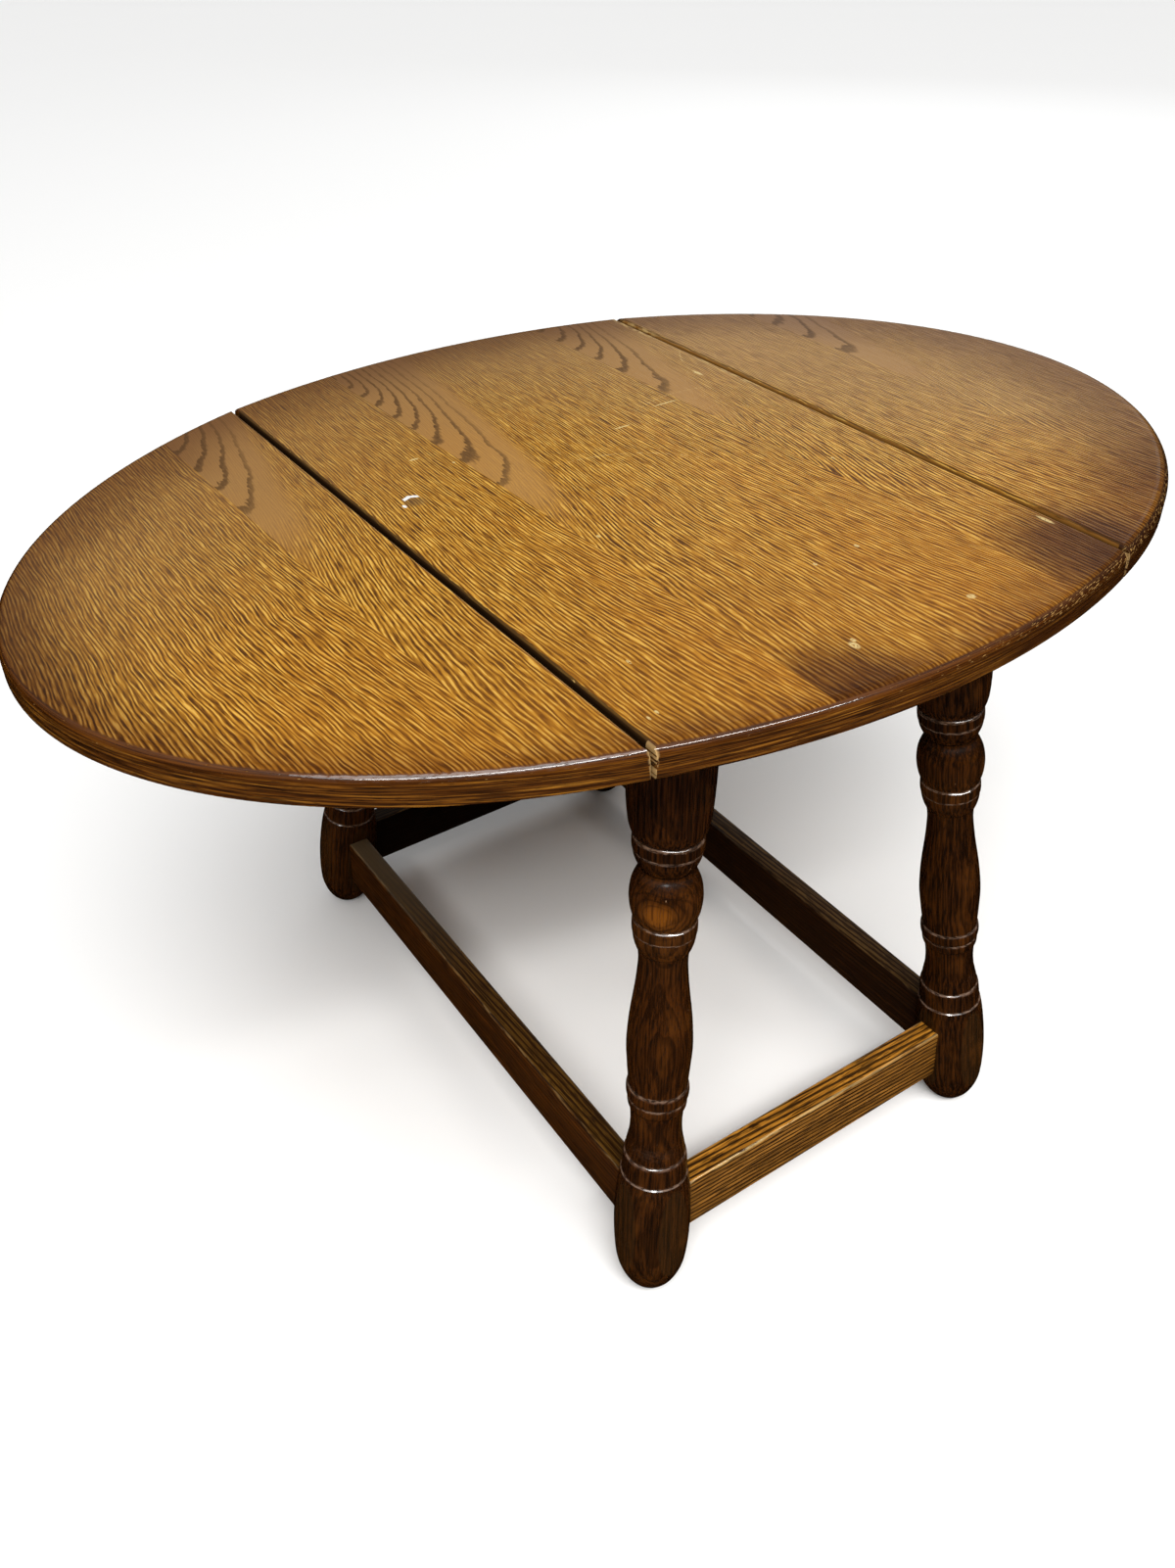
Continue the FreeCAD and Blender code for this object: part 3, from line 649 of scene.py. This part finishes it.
def place_on_leg(f, x, y, z):
    """How far across and deep from the leg's middle, how far up, and a number for each leg."""
    across = f.less(f.add(f.size(x), f.times(z, leg_lean_x)), foot_x)
    deep = f.less(f.add(f.size(y), f.times(z, leg_lean_y)), foot_y)
    which = f.add(f.times(f.sums("SIGN", x), 37), f.times(f.sums("SIGN", y), 11))
    outwards = f.add(f.times(f.less(f.size(x), foot_x), -leg_lean_x),
                     f.times(f.less(f.size(y), foot_y), -leg_lean_y))
    length = board_under * (leg_lean_x ** 2 + leg_lean_y ** 2 + 1)
    return across, deep, f.over(f.add(outwards, z), length), which


# %% Stain the leg by its height and draw its rings
leg_stains = ((0, (46, 25, 6)), (0.2, (45, 22, 6)), (0.33, (46, 21, 4)), (0.42, (56, 27, 5)),
              (0.54, (54, 26, 5)), (0.61, (50, 27, 9)), (0.655, (76, 44, 14)), (0.695, (68, 35, 9)),
              (0.735, (26, 12, 4)), (0.775, (24, 9, 3)), (0.82, (31, 12, 4)))
ring_gap = 3.4


def figured_oak(f, x, z, across, deep, share, which):
    """The stain, painted shade on the right hand legs, streaks, golden clouds, growth rings and
    pores, as a turned post shows them.
    """
    sway = f.noise((across, 24), (deep, 24), f.add(f.over(z, 70), which), 2)
    heart_x, heart_y = f.add(across, 34), f.add(deep, 46)
    ring = f.sums("SQRT", f.add(f.times(heart_x, heart_x), f.times(heart_y, heart_y)))
    ring = f.add(f.add(ring, f.times(f.less(sway, 0.5), 9)), f.times(z, 0.012))
    part = f.sums("FRACT", f.over(ring, ring_gap))
    line = f.times(f.ease(part, 0.5, 0.12), f.ease(part, 0, 0.06))
    streak = f.noise((across, 1.3), (deep, 1.3), f.add(f.over(z, 42), which), 3)
    vessel = f.noise((across, 0.8), (deep, 0.8), f.add(f.over(z, 12), which), 1)
    cloud = f.noise((across, 15), (deep, 15), f.add(f.over(z, 26), which), 2)
    colour = f.ramp(share, leg_stains)
    # Painted shade: the legs are mixed towards black, a little on the left and much more on the
    # right, under the top.
    colour = f.blend(f.ease(x, -20, 20, 0.2, 0.7), colour, (12, 5, 2))
    dark, golden = f.blend(0.42, colour, (14, 6, 3)), f.blend(0.28, colour, (104, 56, 16))
    colour = f.blend(f.ease(streak, 0.34, 0.66), dark, golden)
    colour = f.blend(f.ease(cloud, 0.5, 0.72, 0, 0.35), colour, (98, 54, 14))
    colour = f.blend(f.times(line, 0.55), colour, (22, 10, 4))
    colour = f.blend(f.ease(vessel, 0.58, 0.68, 0, 0.7), colour, (18, 9, 4))
    return colour, sway, line, streak, vessel


# %% Add the knot on the ball and the wear on the rings
knot_height, knot_half_width, knot_half_height = 296, 11, 8.5
# Heights, as shares of the leg, of the ring edges that get a pale line of painted highlight and
# wear.
highlight_ledge_heights = (0.2175, 0.2528, 0.353, 0.375, 0.631, 0.6505, 0.757, 0.7745)


def knot_on_ball(f, x, z, across, deep, sway, streak, colour):
    """Golden wood with dark rings round it, on the outward side of the ball."""
    sideways = f.less(f.times(across, 0.66), f.times(deep, 0.783))
    outward = f.ease(f.add(f.times(across, 0.783), f.times(deep, 0.66)), 0, 6)
    knot_x = f.over(sideways, knot_half_width)
    knot_z = f.over(f.less(z, knot_height), knot_half_height)
    knot = f.sums("SQRT", f.add(f.times(knot_x, knot_x), f.times(knot_z, knot_z)))
    knot_line = f.ease(f.sums("COSINE", f.times(f.add(knot, f.times(sway, 1.2)), 17)), 0.2, 0.9)
    near_knot = f.times(f.times(f.ease(knot, 2.4, 1.5), f.ease(knot, 0.6, 1)), outward)
    golden = f.times(f.times(f.ease(knot, 1.35, 0.3), outward), f.ease(x, 20, -20, 0.45, 1))
    golden = f.times(golden, f.ease(streak, 0.36, 0.56, 0.3, 0.7))
    colour = f.blend(golden, colour, (134, 76, 16))
    return f.blend(f.times(near_knot, f.times(knot_line, 0.5)), colour, (30, 14, 4))


def worn_and_highlit_rings(f, z, across, deep, share, which, rub, shoulder, colour):
    """Pale lines on the shoulders that face up and on the ring edges, partly rubbed wear and partly
    painted highlight, and a few nicks.
    """
    rubbed = f.times(shoulder, f.ease(rub, 0.42, 0.62, 0.08, 0.5))
    # Painted highlight, partly rubbed wear: a pale line on the shoulders that face up.
    colour = f.blend(rubbed, colour, (128, 98, 80))
    rubbed_ledge_highlights = 0
    for height in highlight_ledge_heights:
        rubbed_ledge_highlights = f.add(rubbed_ledge_highlights, f.ease(f.size(f.less(share, height)), 0.0024, 0.001))
    rubbed_ledge_highlights = f.times(rubbed_ledge_highlights, f.ease(rub, 0.4, 0.66, 0.05, 0.6))
    # Painted highlight, partly rubbed wear: pale lines along the ring edges.
    colour = f.blend(rubbed_ledge_highlights, colour, (146, 118, 98))
    nick = f.noise((across, 2.4), (deep, 2.4), f.add(f.over(z, 5), which), 3)
    return f.blend(f.ease(nick, 0.76, 0.8, 0, 0.8), colour, (168, 132, 100))


# %% Mix the turned oak
def turned_oak():
    f = Finish("turned oak, nearly black, french polished")
    x, y, z = f.place()
    across, deep, share, which = place_on_leg(f, x, y, z)
    colour, sway, line, streak, vessel = figured_oak(f, x, z, across, deep, share, which)
    colour = knot_on_ball(f, x, z, across, deep, sway, streak, colour)
    flat = f.sums("MAXIMUM", f.size(across), f.size(deep))
    flat = f.times(f.ease(flat, 21.5, 21.9), f.ease(share, 0.24, 0.2))
    colour = f.blend(f.times(flat, 0.2), colour, (64, 46, 22))
    hollow = f.node("ShaderNodeAttribute", attribute_name="hollow").outputs["Fac"]
    colour = f.blend(f.ease(hollow, 0.1, 0.7, 0, 0.9), colour, (12, 6, 4))
    rub = f.noise((across, 4), (deep, 4), f.add(f.over(z, 1.2), which), 3)
    up = f.upward()
    on_ball = f.times(f.ease(share, 0.652, 0.658), f.ease(share, 0.736, 0.73))
    # The shoulders that face up, off the ball, where the pale line of painted highlight and wear
    # goes.
    shoulder = f.times(f.ease(share, 0.03, 0.06), f.less(1, on_ball))
    shoulder = f.times(f.ease(up, 0.26, 0.5), shoulder)
    colour = worn_and_highlit_rings(f, z, across, deep, share, which, rub, shoulder, colour)
    polish = f.ease(vessel, 0.5, 0.7, 0.2, 0.36)
    relief = f.add(f.ease(vessel, 0.55, 0.7, 0, 0.6), f.times(line, 0.3))
    relief = f.less(f.times(sway, 0.3), relief)
    shine = f.times(f.ease(up, 0.12, 0.42), f.ease(rub, 0.3, 0.46, 0.5, 1))
    shine = f.times(shine, f.ease(on_ball, 0, 1, 1, 0.45))
    return f.coat(colour, polish, relief, 0.00012, clear=shine, clear_rough=0.1, gloss=0.06)


turned = turned_oak()
print("turned oak is made of", len(turned.node_tree.nodes), "steps")

# %% [markdown]
# ## Plain oak for rails and stretchers
# Rails and stretchers are straight sticks, sawn with the grain along them, so their pores are
# long dark streaks. The front stretcher has caught the feet and the light of many years: it is
# the golden one, with a bright front corner that is partly worn and partly a painted highlight.
# The others kept their dark stain and have a thin pale corner of the same kind. Each stretcher is
# painted lighter on top as painted light from above, olive on the dark ones. The left stretcher
# is painted brown where it is lit and the right one dark as painted shade under the top, and the
# left one's top greys towards the back, partly dust and partly a painted sheen.

# %% Draw the grain and the worn corners of a stick
stretcher_side = {"x": 218.71, "y": 133.39}
stick_half, stick_low, stick_top = 8.15, 32, 75


def stick_grain(f, along, across, z, seed):
    """Broad bands, pores and streaks along the stick, bowed a little as the tree was."""
    bow = f.noise((along, 150), f.add(f.over(across, 30), seed), (z, 30), 2)
    height = f.add(z, f.times(f.less(bow, 0.5), 22))
    band = f.noise((along, 240), f.add(f.over(across, 2.6), seed), (height, 2.2), 3)
    pore = f.noise((along, 15), f.add(f.over(across, 0.9), seed), (height, 0.8), 1)
    fleck = f.noise((along, 55), f.add(f.over(across, 1.1), seed), (height, 1.1), 2)
    return band, pore, fleck


def upper_corner(f, across, z, side):
    """One on the two upper long corners of a stretcher."""
    from_middle = f.size(f.less(f.size(across), side))
    from_side = f.less(stick_half, from_middle)
    from_top = f.size(f.less(stick_top, z))
    return f.ease(f.add(f.sums("MAXIMUM", from_side, 0), from_top), 1.9, 1)


# %% Mix the oak for straight sticks
def straight_oak(name, lies_along, faces, lit_tops, streaks, rubbed, wear, gloss=0.3, dust_and_sheen_share=0):
    f = Finish(name)
    x, y, z = f.place()
    along, across = (x, y) if lies_along == "x" else (y, x)
    seed = f.times(f.sums("SIGN", across), 19)
    band, pore, fleck = stick_grain(f, along, across, z, seed)
    up = f.ease(f.upward(), 0.3, 0.9)
    # Painted light from above: faces that look up take the lighter top stains.
    light, dark = f.blend(up, faces[0], lit_tops[0]), f.blend(up, faces[1], lit_tops[1])
    colour = f.blend(f.ease(band, 0.34, 0.66), light, dark)
    wander = f.noise((along, 60), (across, 6), (z, 6), 1)
    slant = f.add(f.add(z, across), f.times(along, 0.05))
    beat = f.sums("COSINE", f.add(f.times(slant, 1.6), f.times(wander, 3)))
    colour = f.blend(f.ease(beat, 0, 0.7, 0, 0.9), colour, streaks)
    colour = f.blend(f.ease(fleck, 0.5, 0.64, 0, 0.75), colour, streaks)
    colour = f.blend(f.ease(pore, 0.54, 0.66, 0, 0.7), colour, streaks)
    # Dust and painted sheen: the tops grey towards the back end of the stick.
    dust = f.times(up, f.ease(along, 0, 200, 0, dust_and_sheen_share))
    colour = f.blend(dust, colour, (108, 90, 66))
    corner = upper_corner(f, across, z, stretcher_side[lies_along])
    rub = f.noise((along, 16), (across, 3), (z, 1.5), 3)
    # Pale upper corners, partly worn bare wood and partly a painted highlight, stronger on the
    # left.
    bare = f.ease(rub, 0.62 - 0.3 * wear, 0.74 - 0.3 * wear, 0, 0.8)
    bare = f.times(bare, f.ease(x, -30, 60, 1, 0.45))
    colour = f.blend(f.times(corner, bare), colour, rubbed)
    nick = f.noise((along, 4), f.add(f.over(across, 2.6), seed), (z, 2.6), 2)
    colour = f.blend(f.ease(nick, 0.77, 0.8, 0, 0.8), colour, rubbed)
    polish = f.ease(pore, 0.45, 0.7, gloss, gloss + 0.2)
    relief = f.less(0.5, f.ease(pore, 0.5, 0.66, 0, 0.5))
    shine = f.times(corner, wear)
    return f.coat(colour, polish, relief, 0.0001, clear=shine, clear_rough=0.15, gloss=0.08)


# %% Choose the stains of the sticks
golden_stick = straight_oak(
    "stretcher oak, worn golden", "x", ((170, 114, 42), (130, 84, 27)),
    ((206, 140, 50), (158, 102, 30)), (34, 17, 4), (222, 184, 118), 0.8)
dark_cross_stick = straight_oak(
    "stretcher oak, dark, across", "x", ((34, 18, 6), (24, 11, 4)),
    ((78, 58, 28), (56, 36, 16)), (24, 12, 5), (120, 92, 56), 0.35)
# Painted light and shade: the two lengthwise stretchers are one oak, painted dark for the right one
# in the shade of the top and brown for the lit left one.
shaded_long_stick = straight_oak(
    "stretcher oak, dark, lengthwise", "y", ((62, 34, 8), (46, 23, 5)),
    ((104, 78, 44), (76, 54, 28)), (34, 18, 7), (126, 98, 62), 0.45)
lit_dusty_long_stick = straight_oak(
    "stretcher oak, brown, lengthwise", "y", ((104, 56, 10), (76, 40, 7)),
    ((104, 72, 26), (76, 50, 18)), (38, 19, 5), (142, 110, 66), 0.45, dust_and_sheen_share=0.9)
rail_stain = ((58, 32, 12), (38, 20, 8))
rail_looks = (rail_stain, rail_stain, (24, 12, 6), (110, 80, 48), 0, 0.42)
cross_rail = straight_oak("rail oak, across", "x", *rail_looks)
long_rail = straight_oak("rail oak, lengthwise", "y", *rail_looks)
print("stick finishes:", golden_stick.name, "to", long_rail.name)

# %% [markdown]
# ## Beech, brass and steel
# What the photograph hides is made as such tables have it: bearers, guides and blocks of plain
# beech with a thin stain, brass plates for the hinges and slotted steel screws.

# %% Mix beech, brass and steel
def thin_stained_beech():
    f = Finish("beech, thinly stained")
    x, y, z = f.place()
    band = f.noise((x, 70), (y, 9), (z, 5), 3)
    fleck = f.noise((x, 4), (y, 1), (z, 0.9), 1)
    colour = f.blend(band, (190, 148, 104), (158, 114, 74))
    colour = f.blend(f.ease(fleck, 0.58, 0.72, 0, 0.6), colour, (122, 82, 50))
    smudge = f.noise((x, 30), (y, 30), (z, 30), 2)
    colour = f.blend(f.ease(smudge, 0.5, 0.75, 0, 0.5), colour, (96, 64, 40))
    return f.coat(colour, f.ease(fleck, 0.4, 0.7, 0.5, 0.66), fleck, 0.00006)


def metal(name, bright, dull, tarnish, smooth, rough):
    f = Finish(name)
    x, y, z = f.place()
    cloud = f.noise((x, 6), (y, 6), (z, 6), 3)
    line = f.noise((x, 9), (y, 0.35), (z, 0.35), 1)
    colour = f.blend(cloud, bright, dull)
    colour = f.blend(f.ease(cloud, 0.56, 0.7, 0, 0.8), colour, tarnish)
    f.shader.inputs["Metallic"].default_value = 1
    return f.coat(colour, f.ease(cloud, 0.3, 0.7, smooth, rough), line, 0.00002)


beech = thin_stained_beech()
brass = metal("brass plate, dulled", (206, 168, 96), (176, 136, 70), (110, 82, 46), 0.26, 0.5)
steel = metal("screw steel, dulled", (176, 174, 170), (140, 138, 134), (84, 76, 68), 0.3, 0.55)
print("finishes so far:", len(bpy.data.materials))

# %% [markdown]
# ## Turning the legs
# A turned leg is the shape that a spin makes: one outline, swept once round an axis. The outline
# is drawn as the turner marks it out: hollows and swellings as smooth curves, and between them
# rings with flat fronts and crisp upper shoulders. The post was 44 mm square, so the widest parts
# are cut back to its flats, which leaves arched ends. One leg is made upright, then copied,
# leaned out and sawn level.

# %% Draw the outline of a leg
leg_length, turned_radius, post_half, spare_length = 0.43575, 0.0245, 0.022, 0.02
foot_curve = (
    (-0.014, 0.2), (0.0, 0.46), (0.018, 0.7), (0.046, 0.886), (0.085, 0.968), (0.13, 0.99),
    (0.172, 0.958), (0.198, 0.914), (0.2155, 0.866))
foot_ring = ((0.217, 0.838), (0.235, 0.826), (0.251, 0.785))
lower_neck = (
    (0.252, 0.766), (0.262, 0.745), (0.272, 0.712), (0.286, 0.668), (0.306, 0.648), (0.324, 0.66),
    (0.3375, 0.688))
lower_ring = ((0.3385, 0.704), (0.346, 0.742), (0.354, 0.722))
vase_ring = ((0.356, 0.742), (0.365, 0.785), (0.3735, 0.752))
vase_curve = (
    (0.375, 0.737), (0.384, 0.745), (0.412, 0.782), (0.445, 0.808), (0.49, 0.757), (0.54, 0.646),
    (0.576, 0.591), (0.593, 0.596), (0.602, 0.622))
collar_curve = ((0.6035, 0.64), (0.61, 0.684), (0.618, 0.722), (0.626, 0.742), (0.63, 0.734))
ball_ring = ((0.631, 0.752), (0.64, 0.77), (0.6487, 0.752))
ball_curve = (
    (0.6497, 0.736), (0.656, 0.772), (0.668, 0.828), (0.685, 0.856), (0.703, 0.824),
    (0.717, 0.738), (0.725, 0.655), (0.729, 0.63))
under_ring_curve = (
    (0.7305, 0.636), (0.734, 0.678), (0.74, 0.732), (0.747, 0.778), (0.753, 0.798),
    (0.755, 0.788))
block_ring = ((0.7565, 0.8), (0.766, 0.832), (0.7755, 0.806))
block_curve = (
    (0.777, 0.792), (0.783, 0.852), (0.79, 0.896), (0.8, 0.934), (0.82, 0.972), (0.845, 0.998),
    (0.875, 1.014), (0.93, 1.03), (1.0, 1.045))


def curve_through(points, steps=5):
    """Points on a smooth line through the marks."""
    line = []
    padded = [points[0], *points, points[-1]]
    for four_marks in zip(padded, padded[1:], padded[2:], padded[3:]):
        for step in range(steps):
            t = step / steps
            line.append(tuple(0.5 * (2 * b + (c - a) * t + (2 * a - 5 * b + 4 * c - d) * t ** 2
                                     + (3 * b - a - 3 * c + d) * t ** 3)
                              for a, b, c, d in zip(*four_marks)))
    return line + [points[-1]]


def bead_over(points, steps=10):
    """Points on a ring with a flattish front that starts, crests and ends at the three marks."""
    (start, start_r), (top, top_r), (end, end_r) = points
    line = []
    for step in range(steps + 1):
        t = step / steps
        height = start + (end - start) * (1 - math.cos(math.pi * t)) / 2
        base = start_r + (end_r - start_r) * t
        swell = max(0.0, math.sin(math.pi * t)) ** 0.7
        line.append((height, base + (top_r - (start_r + end_r) / 2) * swell))
    return line


outline = []
for marks in (foot_curve, foot_ring, lower_neck, lower_ring, vase_ring, vase_curve, collar_curve,
              ball_ring, ball_curve, under_ring_curve, block_ring, block_curve):
    outline += bead_over(marks) if len(marks) == 3 else curve_through(marks)
outline = [Vector((radius * turned_radius, 0, height * leg_length)) for height, radius in outline]
outline = [Vector((0, 0, outline[0].z))] + outline
outline += [Vector((outline[-1].x, 0, leg_length + spare_length)),
            Vector((0, 0, leg_length + spare_length))]
print("points on the outline:", len(outline))


# %% Helpers for modelling
weld_distance = 0.000005


def start_from(add, **sizes):
    """Adds a primitive with nothing else selected, and opens it for modelling."""
    bpy.ops.object.select_all(action="DESELECT")
    add(**sizes)
    bpy.ops.object.mode_set(mode="EDIT")
    return bpy.context.object


def saw_off(place, normal):
    """Cuts away what lies beyond a plane and closes the cut."""
    bpy.ops.mesh.select_all(action="SELECT")
    bpy.ops.mesh.bisect(plane_co=place, plane_no=normal, use_fill=True, clear_outer=True,
                        threshold=0.000001)


def close_up(piece, name, smooth_angle=32):
    """Leaves edit mode with outward faces and a smooth shade, and names the piece."""
    bpy.ops.mesh.select_all(action="SELECT")
    bpy.ops.mesh.remove_doubles(threshold=weld_distance)
    bpy.ops.mesh.normals_make_consistent(inside=False)
    bpy.ops.object.mode_set(mode="OBJECT")
    bpy.ops.object.shade_smooth_by_angle(angle=deg(smooth_angle))
    piece.name = name
    return piece


def settle(piece):
    """Puts the piece's place and turn into its mesh."""
    bpy.ops.object.select_all(action="DESELECT")
    piece.select_set(True)
    bpy.context.view_layer.objects.active = piece
    bpy.ops.object.transform_apply(location=True, rotation=True, scale=True)


def note_hollows(piece, deepest=0.6):
    """Notes on every point how sharp a hollow it lies in, from nought to one."""
    mesh = bmesh.new()
    mesh.from_mesh(piece.data)
    hollow = mesh.verts.layers.float.new("hollow")
    for vert in mesh.verts:
        sharpest = min(edge.calc_face_angle_signed(0.0) for edge in vert.link_edges)
        vert[hollow] = min(1.0, max(0.0, -sharpest) / deepest)
    mesh.to_mesh(piece.data)
    mesh.free()


def dress(piece, finish, body, slot, *stands_for):
    """Gives a modelled piece its finish and its body, and hides the solid that it stands for; slot
    is not used.
    """
    piece.data.materials.clear()
    piece.data.materials.append(finish)
    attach(piece, body)
    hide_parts(*stands_for)


# %% Turn one leg and saw its flats
leg = start_from(bpy.ops.mesh.primitive_plane_add, size=0.01, location=outline[0])
bpy.ops.mesh.merge(type="CENTER")
for start, end in zip(outline, outline[1:]):
    bpy.ops.mesh.extrude_region_move(TRANSFORM_OT_translate={"value": end - start})
bpy.ops.mesh.select_all(action="SELECT")
bpy.ops.mesh.spin(steps=72, angle=2 * math.pi, center=outline[0], axis=(0, 0, 1))
bpy.ops.mesh.remove_doubles(threshold=weld_distance)
for normal in ((1, 0, 0), (-1, 0, 0), (0, 1, 0), (0, -1, 0)):
    saw_off(Vector(normal) * post_half, normal)
close_up(leg, "turned_leg")
settle(leg)
print("faces on one leg:", len(leg.data.polygons))

# %% Lean four legs out to their corners
mm = 0.001
for side_name, side_x in (("left", -1), ("right", 1)):
    for end_name, side_y in (("front", -1), ("back", 1)):
        foot = Vector((side_x * foot_x * mm, side_y * foot_y * mm, 0))
        shoulder = Vector((side_x * shoulder_x * mm, side_y * shoulder_y * mm, board_under * mm))
        splayed = leg.copy()
        splayed.data = leg.data.copy()
        bpy.context.collection.objects.link(splayed)
        splayed.rotation_mode = "QUATERNION"
        splayed.rotation_quaternion = Vector((0, 0, 1)).rotation_difference(shoulder - foot)
        splayed.location = foot
        settle(splayed)
        bpy.ops.object.mode_set(mode="EDIT")
        saw_off((0, 0, 0), (0, 0, -1))
        saw_off((0, 0, board_under * mm), (0, 0, 1))
        corner_name = end_name + "_" + side_name
        close_up(splayed, "polished_leg_" + corner_name)
        splayed.rotation_mode = "XYZ"
        note_hollows(splayed)
        dress(splayed, turned, "frame", "turned_oak", "leg_" + corner_name)
        print("leg:", splayed.name)
bpy.data.objects.remove(leg)

# %% [markdown]
# ## Planing the stretchers
# Each stretcher is a straight stick with its four long corners rounded by a plane. It starts as a
# box between the middles of two legs, and a bevel on the long edges makes the corners.

# %% Make the four stretchers
corner_radius = 0.002


def stretcher(name, lies_along, sign):
    """A stick on one side of the table, sign telling which, from leg middle to leg middle."""
    reach = stretcher_side["y" if lies_along == "x" else "x"] * mm
    axis = 0 if lies_along == "x" else 1
    size = [2 * stick_half * mm, 2 * stick_half * mm, (stick_top - stick_low) * mm]
    size[axis] = 2 * reach
    middle = [0, 0, (stick_low + stick_top) / 2 * mm]
    middle[1 - axis] = sign * stretcher_side[lies_along] * mm
    box = start_from(bpy.ops.mesh.primitive_cube_add, size=1.0)
    bpy.ops.transform.resize(value=size)
    bpy.ops.transform.translate(value=middle)
    bpy.ops.mesh.select_all(action="DESELECT")
    shape = bmesh.from_edit_mesh(box.data)
    for edge in shape.edges:
        run = edge.verts[1].co - edge.verts[0].co
        if abs(run[axis]) > reach:
            edge.select_set(True)
    bmesh.update_edit_mesh(box.data)
    bpy.ops.mesh.bevel(offset=corner_radius, segments=4, affect="EDGES")
    close_up(box, name, 50)
    settle(box)
    return box


for name, lies_along, sign, finish, stands_for in (
        ("worn_stretcher_front", "x", -1, golden_stick, "end_stretcher_front"),
        ("dark_stretcher_back", "x", 1, dark_cross_stick, "end_stretcher_back"),
        ("dark_stretcher_left", "y", -1, lit_dusty_long_stick, "side_stretcher_left"),
        ("dark_stretcher_right", "y", 1, shaded_long_stick, "side_stretcher_right")):
    dress(stretcher(name, lies_along, sign), finish, "frame", "stretcher_oak", stands_for)
    print("stretcher:", name)

# %% [markdown]
# ## Finishing the rest of the joinery
# The boards, rails, bearers, hinges and screws keep the shapes that the joiner gave them. Each
# gets its finish in the material slot that it already has.

# %% Give every remaining piece its finish
finish_of = {"top_veneer": veneer, "edge_lipping": lipping, "turned_oak": turned,
             "stretcher_oak": shaded_long_stick, "rail_oak": cross_rail, "inner_beech": beech,
             "hinge_brass": brass, "screw_steel": steel}
slot_of = {part["node"]: part["material_slot"] for part in frame["record"]["subparts"]}
for name, piece in nodes.items():
    for place in piece.material_slots:
        place.material = long_rail if name.startswith("side_rail") else finish_of[slot_of[name]]
print("finishes:", sorted(finish_of))
